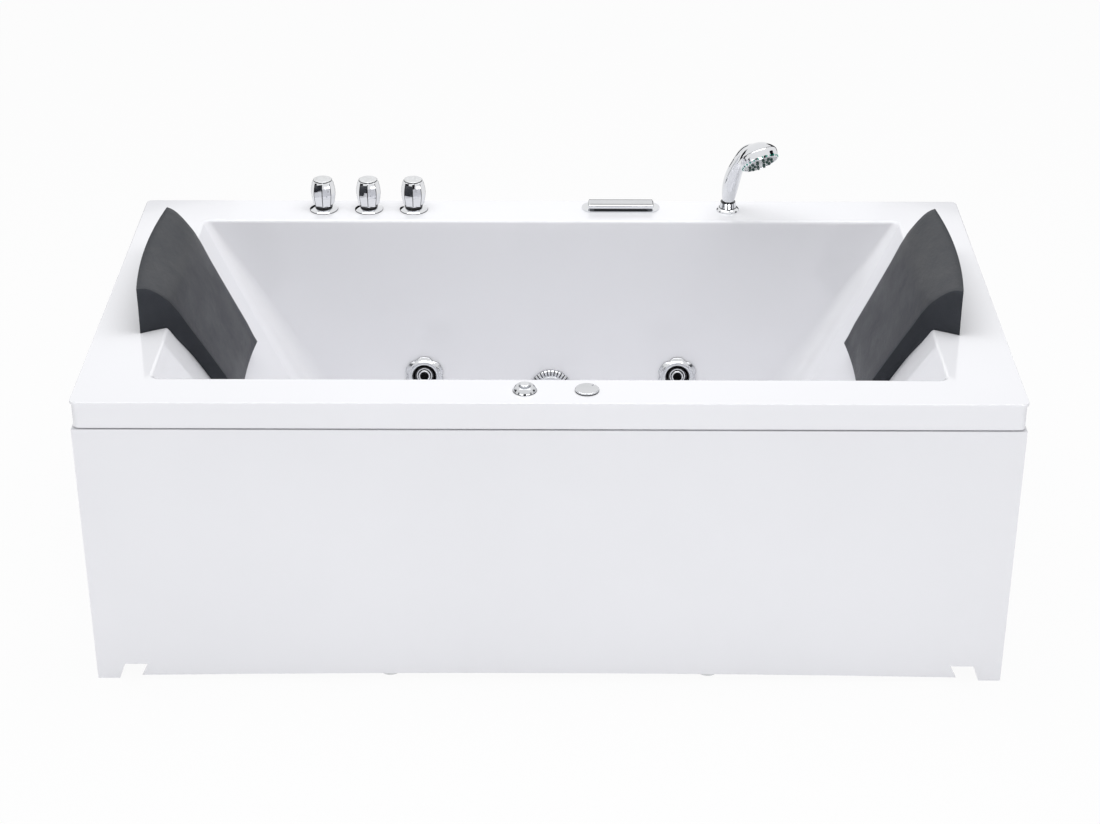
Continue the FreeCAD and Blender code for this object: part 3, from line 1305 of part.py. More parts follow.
def make_jet_bodies():
    cavity = S.ball_radius + S.seat_gap
    cavity_end = -S.jet_barrel_length * 0.6
    profile = [(0.0, -S.jet_barrel_length), (S.jet_barrel, -S.jet_barrel_length), (S.jet_barrel, 0.0),
               (S.jet_flange, 0.0), (S.jet_flange, S.jet_flange_height), (cavity, S.jet_flange_height),
               (cavity, cavity_end), (0.0, cavity_end)]
    bodies, nuts = [], []
    low, high = S.jet_barrel / 2, S.jet_barrel + S.water_pipe_radius
    for side, spot in JETS:
        barrel = put(turned("jet_barrel_body", profile), spot)
        water = branch("water_stub", side, spot, S.water_pipe_depth, S.jet_barrel - 2, high,
                       S.water_stub_radius)
        air = branch("air_stub", side, spot, S.air_pipe_depth, low, high, S.air_stub_radius)
        bodies.append(fused("jet_body", barrel, water, air))
        lock_nut = turned("jet_lock_nut", ring(S.jet_barrel + S.seat_gap, S.jet_nut_radius, 0.0,
                                               S.jet_nut_height))
        nuts.append(put(lock_nut, spot, -WALL_SKIN - S.seat_gap - S.jet_nut_height))
    node(group("jet_bodies", bodies), "jet_bodies")
    node(group("jet_lock_nuts", nuts), "jet_lock_nuts")


def make_suction():
    shoulder = S.suction_flange + S.seat_gap
    step = S.jet_flange_height + S.seat_gap
    top = S.suction_cover_height
    cover = turned("suction_grille", [
        (0.0, step), (shoulder, step), (shoulder, S.seat_gap), (S.suction_radius, S.seat_gap),
        (S.suction_radius, top / 3), (S.suction_radius - top * 2 / 3, top, top * 2 / 3), (0.0, top)])
    sketch = new_sketch(cover, "XY")
    half = S.suction_slot_width / 2
    inner, outer = S.suction_radius - S.suction_slot_length, S.suction_radius + 1
    draw(sketch, [(inner, -half), (outer, -half), (outer, half), (inner, half)])
    slot = pocket(cover, sketch, top * 4, SideType="Symmetric")
    pattern(cover, slot, S.suction_slots)
    node(put(cover, SUCTION), "suction_cover")
    end = -S.suction_depth - S.suction_barrel
    bore = S.suction_barrel - S.suction_pipe_wall
    barrel = put(turned("suction_barrel", [
        (0.0, end), (S.suction_barrel, end), (S.suction_barrel, 0.0), (S.suction_flange, 0.0),
        (S.suction_flange, S.jet_flange_height), (bore, S.jet_flange_height),
        (bore, end + S.suction_pipe_wall), (0.0, end + S.suction_pipe_wall)]), SUCTION)
    stub = straight_pipe("suction_branch", S.suction_barrel - S.suction_pipe_wall, S.suction_stub,
                         SUCTION_AXIS[1], SUCTION_AXIS[2], S.suction_pipe_radius, S.suction_pipe_wall)
    lock_nut = put(turned("suction_nut", ring(S.suction_barrel + S.seat_gap, S.jet_nut_radius + 3, 0.0,
                                              S.jet_nut_height)),
                   SUCTION, -WALL_SKIN - S.seat_gap - S.jet_nut_height)
    node(group("suction_body", [fused("suction_elbow", barrel, stub), lock_nut]), "suction_body")


def make_suction_pipe():
    y, z = SUCTION_AXIS[1], SUCTION_AXIS[2]
    bend = S.suction_pipe_bend
    end = S.pump_y + S.casing_length + S.pump_neck_length
    body = new_body("suction_line")
    path = [(S.suction_stub, y), (PUMP_X - bend, y), (PUMP_X, y - bend, -bend), (PUMP_X, end)]
    swept_pipe(body, "XY", z, path, "YZ", S.suction_stub, (y, z), S.suction_pipe_radius,
               S.suction_pipe_wall)
    node(body, "suction_pipe")


def manifold(label, side, cross_x, back, front, radius, wall, depth, rise, tee_radius):
    """A pipe round the back, one end and the front of the basin, with a tee over every jet."""
    bend = S.manifold_bend
    level = back[2]
    start = -side * S.manifold_end
    body = new_body(f"{label}_loop")
    path = [(start, back[1]), (cross_x - side * bend, back[1]), (cross_x, back[1] - bend, -side * bend),
            (cross_x, front[1] + bend), (cross_x - side * bend, front[1], -side * bend),
            (start, front[1])]
    swept_pipe(body, "XY", level, path, "YZ", start, (back[1], level), radius, wall)
    pieces = [body]
    for y in (back[1], front[1]):
        low = start - (wall if side > 0 else 0.0)
        pieces.append(lay(cylinder(f"{label}_cap", radius, wall), low, y, level))
    low = S.jet_barrel + S.water_pipe_radius
    for jet_side, spot in JETS:
        tee = branch(f"{label}_tee", jet_side, spot, depth, low, rise, tee_radius)
        pieces.append(tee)
    return pieces


def make_water_manifold():
    pieces = manifold("water", 1, PUMP_X, WATER_BACK, WATER_FRONT, S.water_pipe_radius,
                      S.water_pipe_wall, S.water_pipe_depth, S.water_pipe_rise, S.water_stub_radius)
    foot = SUCTION_AXIS[2] + S.discharge_height
    riser = cylinder("water_riser", S.riser_radius, WATER_BACK[2] - foot)
    pieces.append(put(riser, Spot(PUMP_X, S.pump_y + S.casing_length / 2, foot)))
    node(fused("water_manifold", *pieces), "water_manifold")


def side_step(y0, y1, z, radius):
    """Two arcs that carry a falling pipe from y0 sideways to y1, starting at height z."""
    shift = y1 - y0
    drop = root(radius * shift - shift * shift / 4)
    return [(y0, z), (y0 + shift / 2, z - drop, radius), (y1, z - 2 * drop, -radius)]


def make_air_manifold():
    pieces = manifold("air", -1, -AIR_TURN_X, AIR_BACK, AIR_FRONT, S.air_pipe_radius,
                      S.air_pipe_wall, S.air_pipe_depth, S.air_pipe_rise, S.air_stub_radius)
    top = S.rim_height - S.sleeve_length - S.barb_length
    drop = new_body("air_drop")
    path = [(AIR.y, top)] + side_step(AIR.y, AIR_FRONT[1], top - S.air_pipe_rise / 2, S.manifold_bend)
    path.append((AIR_FRONT[1], AIR_FRONT[2]))
    swept_pipe(drop, "YZ", AIR.x, path, "XY", top, (AIR.x, AIR.y), S.air_pipe_radius, S.air_pipe_wall)
    node(fused("air_manifold", *pieces, drop), "air_manifold")


# ---------------------------------------------------------------------------------------------------
# Drain and overflow


def make_drain():
    top = S.drain_flange_height
    flange = turned("drain_seat", [
        (S.drain_bore, -S.shell_wall * 2), (S.drain_tail, -S.shell_wall * 2), (S.drain_tail, 0.0),
        (S.drain_radius, 0.0), (S.drain_radius, 1.0), (S.drain_radius - 2, top), (S.drain_bore, top)])
    node(put(flange, DRAIN), "drain_flange")
    low = top + S.seat_gap
    crown = dome_radius(S.plug_radius, S.plug_height - 2)
    plug = turned("plug_cap", [
        (0.0, low - S.plug_stem_length), (S.plug_stem, low - S.plug_stem_length), (S.plug_stem, low),
        (S.plug_radius, low), (S.plug_radius, low + 2), (0.0, low + S.plug_height, crown)])
    node(put(plug, DRAIN), "drain_plug")


def make_waste_body():
    wall = S.waste_pipe_wall
    rim = -S.shell_wall
    bottom = S.waste_bottom - FLOOR_TOP
    flange = S.drain_radius + 2
    tail = S.drain_tail + S.seat_gap
    cup_top = rim - S.shell_wall - 2
    cup = put(turned("waste_cup", [
        (0.0, bottom), (S.waste_radius, bottom), (S.waste_radius, rim - wall * 2), (flange, rim - wall * 2),
        (flange, rim), (tail, rim), (tail, cup_top), (S.waste_radius - wall, cup_top),
        (S.waste_radius - wall, bottom + wall), (0.0, bottom + wall)]), DRAIN)
    start = S.drain_y + S.waste_radius - wall
    end = S.waste_outlet_y - start
    shoulder = end - S.waste_spigot_length
    bore = S.waste_pipe_radius - wall
    outlet = turned("waste_outlet", [
        (bore, 0.0), (S.waste_pipe_radius + 1, 0.0), (S.waste_pipe_radius + 1, shoulder),
        (S.waste_pipe_radius, shoulder), (S.waste_pipe_radius, end), (bore, end)])
    put(outlet, Spot(0.0, start, S.waste_axis, -90.0))
    node(fused("waste_body", cup, outlet), "waste_body")


def make_overflow():
    plate_low, plate_top = S.seat_gap, S.overflow_height
    bore = S.spindle_radius + S.running_gap
    plate = turned("overflow_disc", [
        (bore, plate_low), (S.overflow_radius, plate_low), (S.overflow_radius, plate_low + 1),
        (S.overflow_radius - 3, plate_top, 6), (bore, plate_top)])
    node(put(plate, OVERFLOW), "overflow_plate")
    low = plate_top + S.seat_gap
    high = low + S.overflow_knob_height
    dial = turned("overflow_dial", [
        (0.0, -S.overflow_barrel / 2), (S.spindle_radius, -S.overflow_barrel / 2),
        (S.spindle_radius, low), (S.overflow_knob_radius, low), (S.overflow_knob_radius, high - 3),
        (S.overflow_knob_radius - 3, high, 3), (0.0, high)])
    sketch = new_sketch(dial, "XY", high)
    draw_circle(sketch, S.overflow_knob_radius + 5, 0.0, 8.0)
    grip = pocket(dial, sketch, S.overflow_knob_height + 2)
    pattern(dial, grip, 6)
    node(put(dial, OVERFLOW), "overflow_knob")
    wall = S.waste_pipe_wall
    depth = (OVERFLOW.y - OVERFLOW_Y) / cosine(WALL_ANGLE)
    end = -depth - S.overflow_pipe_radius - wall
    barrel = put(turned("overflow_barrel_body", [
        (0.0, end), (S.overflow_barrel, end), (S.overflow_barrel, 0.0),
        (S.overflow_barrel - wall, 0.0), (S.overflow_barrel - wall, end + wall), (0.0, end + wall)]),
        OVERFLOW)
    top = OVERFLOW.at(out=-depth)[2] - S.overflow_barrel + wall
    body = new_body("overflow_line")
    bend = S.overflow_bend
    path = [(OVERFLOW_Y, top)]
    path += side_step(OVERFLOW_Y, OVERFLOW_INNER_Y, S.overflow_step_z, bend)
    path += [(OVERFLOW_INNER_Y, S.waste_axis + bend), (OVERFLOW_INNER_Y + bend, S.waste_axis, bend),
             (S.drain_y - S.waste_radius - S.seat_gap, S.waste_axis)]
    swept_pipe(body, "YZ", 0.0, path, "XY", top, (0.0, OVERFLOW_Y), S.overflow_pipe_radius, wall)
    node(fused("overflow_pipe", barrel, body), "overflow_pipe")


# ---------------------------------------------------------------------------------------------------
# Pump: its axis runs along Y at the height of the suction pipe

PUMP = Spot(PUMP_X, S.pump_y, SUCTION_AXIS[2], -90.0)


def make_pump_casing():
    bore = S.shaft_radius + S.running_gap
    wall, inside = S.casing_wall, S.casing_radius - S.casing_wall
    way = S.pump_neck - wall
    end = S.casing_length + S.pump_neck_length
    shell = turned("volute", [
        (bore, 0.0), (S.casing_radius, 0.0), (S.casing_radius, S.casing_length - wall),
        (S.casing_radius - wall, S.casing_length, wall), (S.pump_neck, S.casing_length),
        (S.pump_neck, end), (way, end), (way, S.casing_length - wall), (inside, S.casing_length - wall),
        (inside, wall), (bore, wall)])
    rise = put(cylinder("discharge", S.riser_radius, S.discharge_height - inside + 1),
               Spot(PUMP_X, S.pump_y + S.casing_length / 2, PUMP.z + inside - 1))
    way_up = put(cylinder("discharge_bore", S.riser_radius - S.water_pipe_wall,
                          S.discharge_height - inside + 4),
                 Spot(PUMP_X, S.pump_y + S.casing_length / 2, PUMP.z + inside - 3))
    node(cut("pump_casing", fused("volute_and_discharge", put(shell, PUMP), rise), way_up),
         "pump_casing")


def make_pump_motor():
    bore = S.shaft_radius + S.running_gap
    wall, inside = S.motor_wall, S.motor_radius - S.motor_wall
    stator = S.core_radius + S.seat_gap
    core_end = -S.core_start - S.core_length
    casing = turned("motor_casing", [
        (bore, -wall), (inside, -wall), (inside, -S.core_start), (stator, -S.core_start),
        (stator, core_end), (inside, core_end), (inside, -S.motor_length),
        (S.motor_radius, -S.motor_length), (S.motor_radius, 0.0), (bore, 0.0)])
    fin = new_sketch(casing, "XY", -S.motor_length + 10)
    tip = S.motor_radius + S.motor_fin_height
    draw(fin, [(S.motor_radius - 2, -1.0), (tip, -1.0), (tip, 1.0), (S.motor_radius - 2, 1.0)])
    one = pad(casing, fin, S.motor_length - 30)
    pattern(casing, one, S.motor_fins)
    node(put(casing, PUMP), "pump_motor")
    start, end = -S.motor_length, -S.motor_length - S.end_cover_length
    cover = turned("fan_cover", [
        (bore, start - wall), (inside, start - wall), (inside, end + wall), (0.0, end + wall),
        (0.0, end), (S.motor_radius - 4, end), (S.motor_radius, end + 4, 4), (S.motor_radius, start),
        (bore, start)])
    node(put(cover, PUMP), "motor_end_cover")


def make_pump_rotor():
    shaft = S.shaft_radius
    fan_end = -S.motor_length - S.motor_wall - 4 - S.fan_height
    impeller = S.casing_wall * 2
    core_end = -S.core_start - S.core_length
    rotor = turned("rotor", [
        (0.0, fan_end - 4), (shaft, fan_end - 4), (shaft, fan_end), (S.fan_radius, fan_end),
        (S.fan_radius, fan_end + S.fan_height), (shaft, fan_end + S.fan_height), (shaft, core_end),
        (S.core_radius, core_end), (S.core_radius, -S.core_start), (shaft, -S.core_start),
        (shaft, impeller), (S.impeller_radius, impeller),
        (S.impeller_radius, impeller + S.impeller_height), (shaft, impeller + S.impeller_height),
        (shaft, impeller + S.impeller_height + 4), (0.0, impeller + S.impeller_height + 4)])
    node(put(rotor, PUMP), "pump_rotor")


def make_pump_base():
    """A plate hung under the cross tubes, with a saddle under the casing and one under the motor."""
    left = 2.5 * S.cross_pitch - S.tube_side / 2
    right = LEG_X + S.tube_side / 2
    plate_top = TUBE_BOTTOM
    front = S.pump_y - S.motor_length - S.end_cover_length - S.pump_plate_height
    plate = block_between("pump_plate", (left, front, plate_top - S.pump_plate_height),
                          (right, front + S.pump_plate_length, plate_top))
    half = S.pump_foot_width / 2
    saddle_top = PUMP.z - S.casing_radius / 2
    fin_tip = S.motor_radius + S.motor_fin_height
    under_casing = block_between("casing_saddle", (PUMP_X - half, S.pump_y + S.casing_wall, plate_top),
                                 (PUMP_X + half, S.pump_y + S.casing_length - S.casing_wall,
                                  saddle_top))
    under_motor = block_between("motor_saddle", (PUMP_X - half, S.pump_y - S.motor_length + 20, plate_top),
                                (PUMP_X + half, S.pump_y - S.motor_length / 2, saddle_top))
    casing_seat = put(cylinder("casing_seat", S.casing_radius + S.seat_gap, S.casing_length), PUMP)
    motor_seat = put(cylinder("motor_seat", fin_tip + S.seat_gap, S.motor_length), PUMP, -S.motor_length)
    node(cut("pump_base", fused("pump_stand", plate, under_casing, under_motor), casing_seat,
             motor_seat), "pump_base")


# ---------------------------------------------------------------------------------------------------
# Control box on the back rail


def make_control_box():
    low_x, high_x = BOX_X - S.box_length / 2, BOX_X + S.box_length / 2
    low_y, high_y = LEG_Y - S.box_depth / 2, LEG_Y + S.box_depth / 2
    low_z, high_z = BOARD_UNDERSIDE, BOARD_UNDERSIDE + S.box_height
    wall = S.box_wall
    case = block_between("box_case", (low_x, low_y + S.box_lid, low_z), (high_x, high_y, high_z))
    room = block_between("box_room", (low_x + wall, low_y + S.box_lid, low_z + wall),
                         (high_x - wall, high_y - wall, high_z - wall))
    gland_z = low_z + S.box_height / 3
    hole = lay(cylinder("gland_hole", S.gland_bore + 1, wall * 3), low_x - wall, LEG_Y, gland_z)
    lid = block_between("box_lid", (low_x, low_y, low_z), (high_x, low_y + S.box_lid, high_z))
    node(group("control_box", [cut("box_shell", case, room, hole), lid]), "control_box")
    gland = straight_pipe("gland", low_x - S.gland_length, low_x, LEG_Y, gland_z, S.gland_radius,
                          S.gland_radius - S.gland_bore)
    node(gland, "cable_gland")


# ---------------------------------------------------------------------------------------------------
# The whole tub


def build():
    make_tub_shell()
    make_front_apron()
    make_end_panel(-1, "left_end_panel")
    make_end_panel(1, "right_end_panel")
    make_headrests()
    make_headrest_pegs()
    make_frame()
    make_legs_and_feet()
    make_base_board()
    make_panel_spacers()
    for spot, label in zip(TAPS, ("hot_knob", "cold_knob", "diverter_knob")):
        make_knob(spot, label)
    make_knob_flanges()
    make_valve_bodies()
    make_deck_nuts()
    make_supply_pipes()
    make_spout()
    make_shower_handle()
    make_shower_face()
    make_shower_socket()
    make_push_button()
    make_air_control()
    make_jet_rings()
    make_jet_nozzles()
    make_jet_bodies()
    make_suction()
    make_suction_pipe()
    make_water_manifold()
    make_air_manifold()
    make_drain()
    make_waste_body()
    make_overflow()
    make_pump_casing()
    make_pump_motor()
    make_pump_rotor()
    make_pump_base()
    make_control_box()


def check():
    """Stops if any feature failed or any sub-part isn't a sound solid."""
    for item in doc.Objects:
        if "Invalid" in item.State or "Error" in item.State:
            raise RuntimeError(f"{item.Label} failed: {item.State}")
    for item in NODES:
        if item.Shape.isNull() or not item.Shape.isValid() or not item.Shape.Solids:
            raise RuntimeError(f"{item.Label} has no sound shape")


def export():
    os.makedirs("parts", exist_ok=True)
    for item in NODES:
        item.Shape.exportStep(f"parts/{item.Label}.step")
        print(item.Label, len(item.Shape.Solids), round(item.Shape.Volume / 1000, 1), "cm3")


def main():
    build()
    doc.recompute()
    check()
    export()


main()
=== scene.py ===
"""Looks of a jetted bathtub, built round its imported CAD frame."""
import json
import math

import bmesh
import bpy
from bpy.props import FloatProperty, FloatVectorProperty, IntProperty, PointerProperty
from bpy.types import Operator, Panel, PropertyGroup
from mathutils import Euler, Matrix, Vector


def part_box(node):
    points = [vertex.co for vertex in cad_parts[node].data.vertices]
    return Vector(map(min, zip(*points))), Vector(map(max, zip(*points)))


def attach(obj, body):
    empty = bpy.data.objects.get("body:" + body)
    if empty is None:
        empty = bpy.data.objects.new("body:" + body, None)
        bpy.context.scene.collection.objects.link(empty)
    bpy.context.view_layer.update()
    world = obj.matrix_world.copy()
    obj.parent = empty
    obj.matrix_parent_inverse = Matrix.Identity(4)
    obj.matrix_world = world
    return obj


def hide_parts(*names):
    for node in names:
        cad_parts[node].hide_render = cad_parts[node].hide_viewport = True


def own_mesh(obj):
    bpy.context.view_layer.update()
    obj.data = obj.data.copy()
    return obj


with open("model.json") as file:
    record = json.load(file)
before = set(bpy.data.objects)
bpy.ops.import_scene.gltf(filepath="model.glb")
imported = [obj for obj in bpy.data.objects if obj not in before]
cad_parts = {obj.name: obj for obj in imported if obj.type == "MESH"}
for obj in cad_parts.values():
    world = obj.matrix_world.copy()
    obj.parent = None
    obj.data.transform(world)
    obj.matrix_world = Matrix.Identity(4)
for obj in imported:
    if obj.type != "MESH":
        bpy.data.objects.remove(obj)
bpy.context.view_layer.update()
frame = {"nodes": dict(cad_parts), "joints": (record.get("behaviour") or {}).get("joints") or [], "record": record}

bl_info = {
    "name": "Jetted bathtub",
    "version": (1, 0, 0),
    "blender": (4, 5, 0),
    "location": "View3D > Sidebar > Bathtub",
    "description": "Builds the finishes and the fine pieces of a jetted bathtub",
    "category": "Object",
}

NODE_SLOTS = {part["node"]: part["material_slot"] for part in frame["record"]["subparts"]}
TAP_BODIES = (("hot_knob", "hot_tap"), ("cold_knob", "cold_tap"), ("diverter_knob", "diverter"))

# Places and sizes of the CAD frame that the fine pieces keep to, in metres
RIM_TOP = 0.590
BACK_WALL_Y, FRONT_WALL_Y = 0.346, -0.355  # the basin's long walls at the rim's height
SIDE_SLOPE = 0.15
END_SLOPE = 0.55
JET_X, JET_Z = 0.267, 0.256
SUCTION_Z = 0.224
BALL_SINK = 0.002
FLANGE_RADIUS = 0.029

# The name of each slot's material, filled by the first operator
FINISHES = {}


def colour_property(name, description, default):
    """A colour in the sidebar."""
    return FloatVectorProperty(
        name=name, description=description, subtype="COLOR", size=3, min=0.0, max=1.0, default=default
    )


def length_property(name, description, default):
    """A length in the sidebar, in metres."""
    return FloatProperty(name=name, description=description, unit="LENGTH", min=0.0, default=default)


class TubColours(PropertyGroup):
    """Colours that a user may change."""

    acrylic: colour_property("Acrylic", "Shell of the tub", (0.90, 0.90, 0.925))
    panel: colour_property("Panel", "Front apron and end panels", (0.87, 0.87, 0.895))
    cushion: colour_property("Cushion", "Skin of the headrests", (0.0125, 0.0135, 0.0180))
    chrome: colour_property("Chrome", "Plated fittings", (0.74, 0.75, 0.77))
    cap: colour_property("Tap cap", "Satin discs on the taps", (0.74, 0.75, 0.76))
    accent: colour_property("Accent", "Soft parts of the hand shower", (0.006, 0.260, 0.190))
    steel: colour_property("Frame", "Powder coat of the frame", (0.16, 0.17, 0.18))


class TubSizes(PropertyGroup):
    """Sizes of the fine pieces that a user may change."""

    cushion_crown: length_property("Cushion crown", "Bulge of a headrest's top", 0.003)
    cushion_waist: length_property("Cushion waist", "How far a headrest's sides pull in", 0.0015)
    flute_depth: length_property("Flute depth", "Hollow of each face of a tap knob", 0.0004)
    lobes: IntProperty(name="Lobes", description="Lobes round a jet's ring", min=3, max=12, default=6)
    lobe_depth: length_property("Lobe depth", "Valley between two lobes of a jet's ring", 0.0036)


# ---------------------------------------------------------------------------------------------------
# Materials

# Range that holds nearly all values of a noise texture
NOISE_LOW, NOISE_HIGH = 0.3, 0.7


def start_material(name):
    """A new material with its node tree, its shader and its object coordinates."""
    material = bpy.data.materials.new(name)
    material.use_nodes = True
    tree = material.node_tree
    shader = tree.nodes["Principled BSDF"]
    coordinates = tree.nodes.new("ShaderNodeTexCoord")
    return material, tree, shader, coordinates.outputs["Object"]


def noise(tree, vector, scale, detail=3.0, roughness=0.5, stretch=(1.0, 1.0, 1.0)):
    """A noise texture's value, with features of about 1 / scale metres."""
    mapping = tree.nodes.new("ShaderNodeMapping")
    mapping.inputs["Scale"].default_value = stretch
    tree.links.new(vector, mapping.inputs["Vector"])
    texture = tree.nodes.new("ShaderNodeTexNoise")
    texture.inputs["Scale"].default_value = scale
    texture.inputs["Detail"].default_value = detail
    texture.inputs["Roughness"].default_value = roughness
    tree.links.new(mapping.outputs["Vector"], texture.inputs["Vector"])
    return texture.outputs["Fac"]


def shade(colour, factor):
    """A colour made darker or lighter."""
    return tuple(min(channel * factor, 1.0) for channel in colour)


def roughen(tree, shader, value, low, high):
    """Lets the roughness wander between two numbers."""
    spread = tree.nodes.new("ShaderNodeMapRange")
    limits = (("From Min", NOISE_LOW), ("From Max", NOISE_HIGH), ("To Min", low), ("To Max", high))
    for socket, number in limits:
        spread.inputs[socket].default_value = number
    tree.links.new(value, spread.inputs["Value"])
    tree.links.new(spread.outputs["Result"], shader.inputs["Roughness"])


def paint(tree, shader, value, colour, dark, light):
    """Lets the colour wander between a darker and a lighter shade of itself."""
    ramp = tree.nodes.new("ShaderNodeValToRGB")
    for stop, place, factor in zip(ramp.color_ramp.elements, (NOISE_LOW, NOISE_HIGH), (dark, light)):
        stop.position = place
        stop.color = (*shade(colour, factor), 1.0)
    tree.links.new(value, ramp.inputs["Fac"])
    tree.links.new(ramp.outputs["Color"], shader.inputs["Base Color"])


def bump(tree, shader, height, distance, strength, under=None):
    """Raises the surface by a height in metres times the texture's value."""
    node = tree.nodes.new("ShaderNodeBump")
    node.inputs["Distance"].default_value = distance
    node.inputs["Strength"].default_value = strength
    tree.links.new(height, node.inputs["Height"])
    if under is not None:
        tree.links.new(under, node.inputs["Normal"])
    tree.links.new(node.outputs["Normal"], shader.inputs["Normal"])
    return node.outputs["Normal"]


def acrylic_material(name, colour, gloss):
    """Cast acrylic: even colour, a polished face and the slow waves of a formed sheet."""
    material, tree, shader, place = start_material(name)
    cloud = noise(tree, place, 2.2)
    paint(tree, shader, cloud, colour, 0.985, 1.01)
    haze = noise(tree, place, 9.0)
    roughen(tree, shader, haze, gloss * 0.85, gloss * 1.15)
    bump(tree, shader, noise(tree, place, 5.0, 1.0), 0.0006, 0.35)
    shader.inputs["IOR"].default_value = 1.49
    shader.inputs["Coat Weight"].default_value = 0.35
    shader.inputs["Coat Roughness"].default_value = 0.04
    return material


def plastic_material(name, colour, roughness, grain=0.00002, shine=0.5):
    """Moulded plastic with a fine texture."""
    material, tree, shader, place = start_material(name)
    cloud = noise(tree, place, 14.0)
    paint(tree, shader, cloud, colour, 0.93, 1.05)
    roughen(tree, shader, cloud, roughness * 0.85, roughness * 1.2)
    bump(tree, shader, noise(tree, place, 900.0, 2.0), grain, 0.6)
    shader.inputs["Specular IOR Level"].default_value = shine
    return material


def chrome_material(name, colour, roughness=0.045):
    """Bright plating: nearly a mirror, with the faint waviness and wipe marks of a used fitting."""
    material, tree, shader, place = start_material(name)
    cloud = noise(tree, place, 30.0)
    paint(tree, shader, cloud, colour, 0.97, 1.02)
    marks = noise(tree, place, 160.0, 4.0, 0.6)
    roughen(tree, shader, marks, roughness * 0.8, roughness * 1.4)
    bump(tree, shader, noise(tree, place, 45.0, 1.0), 0.000012, 0.5)
    shader.inputs["Metallic"].default_value = 1.0
    return material


def brushed_material(name, colour, roughness, stretch=(1.0, 1.0, 24.0)):
    """Metal with a drawn or turned grain."""
    material, tree, shader, place = start_material(name)
    lines = noise(tree, place, 260.0, 3.0, 0.6, stretch)
    paint(tree, shader, lines, colour, 0.86, 1.06)
    roughen(tree, shader, lines, roughness * 0.8, roughness * 1.3)
    bump(tree, shader, lines, 0.00002, 0.5)
    shader.inputs["Metallic"].default_value = 1.0
    return material


def coated_material(name, colour):
    """Powder coat: a satin skin with its orange-peel."""
    material, tree, shader, place = start_material(name)
    cloud = noise(tree, place, 8.0)
    paint(tree, shader, cloud, colour, 0.9, 1.08)
    roughen(tree, shader, cloud, 0.38, 0.5)
    bump(tree, shader, noise(tree, place, 700.0, 1.0), 0.00006, 0.6)
    return material


def plywood_material(name, colour):
    """Sheet wood: long figure on the face and a fine grain."""
    material, tree, shader, place = start_material(name)
    figure = noise(tree, place, 6.0, 5.0, 0.6, (1.0, 9.0, 9.0))
    paint(tree, shader, figure, colour, 0.72, 1.12)
    fibre = noise(tree, place, 220.0, 3.0, 0.6, (0.06, 1.0, 1.0))
    roughen(tree, shader, fibre, 0.55, 0.75)
    bump(tree, shader, fibre, 0.0001, 0.6)
    return material


def cushion_material(name, colour):
    """Skinned foam: a leather-like grain of small cells, with softer and tighter patches."""
    material, tree, shader, place = start_material(name)
    patches = noise(tree, place, 16.0, 4.0, 0.6)
    paint(tree, shader, patches, colour, 0.86, 1.16)
    roughen(tree, shader, patches, 0.33, 0.46)
    cells = tree.nodes.new("ShaderNodeTexVoronoi")
    cells.feature = "SMOOTH_F1"
    cells.inputs["Scale"].default_value = 520.0
    cells.inputs["Smoothness"].default_value = 0.6
    bend = tree.nodes.new("ShaderNodeVectorMath")
    bend.operation = "MULTIPLY_ADD"
    wander = tree.nodes.new("ShaderNodeTexNoise")
    wander.inputs["Scale"].default_value = 130.0
    bend.inputs[1].default_value = (0.004, 0.004, 0.004)
    tree.links.new(place, wander.inputs["Vector"])
    tree.links.new(wander.outputs["Color"], bend.inputs[0])
    tree.links.new(place, bend.inputs[2])
    tree.links.new(bend.outputs["Vector"], cells.inputs["Vector"])
    creases = noise(tree, place, 62.0, 6.0, 0.68, (1.0, 0.5, 1.0))
    broad = bump(tree, shader, creases, 0.0011, 0.7)
    bump(tree, shader, cells.outputs["Distance"], 0.00035, 0.6, broad)
    shader.inputs["Specular IOR Level"].default_value = 0.44
    shader.inputs["Specular Tint"].default_value = (0.88, 0.94, 1.0, 1.0)
    shader.inputs["Sheen Weight"].default_value = 0.03
    shader.inputs["Sheen Roughness"].default_value = 0.4
    return material


def glossy_rubber_material(name, colour):
    """Soft silicone with a slight shine."""
    material, tree, shader, place = start_material(name)
    cloud = noise(tree, place, 90.0)
    paint(tree, shader, cloud, colour, 0.8, 1.25)
    roughen(tree, shader, cloud, 0.28, 0.42)
    bump(tree, shader, noise(tree, place, 1500.0, 1.0), 0.00002, 0.5)
    return material


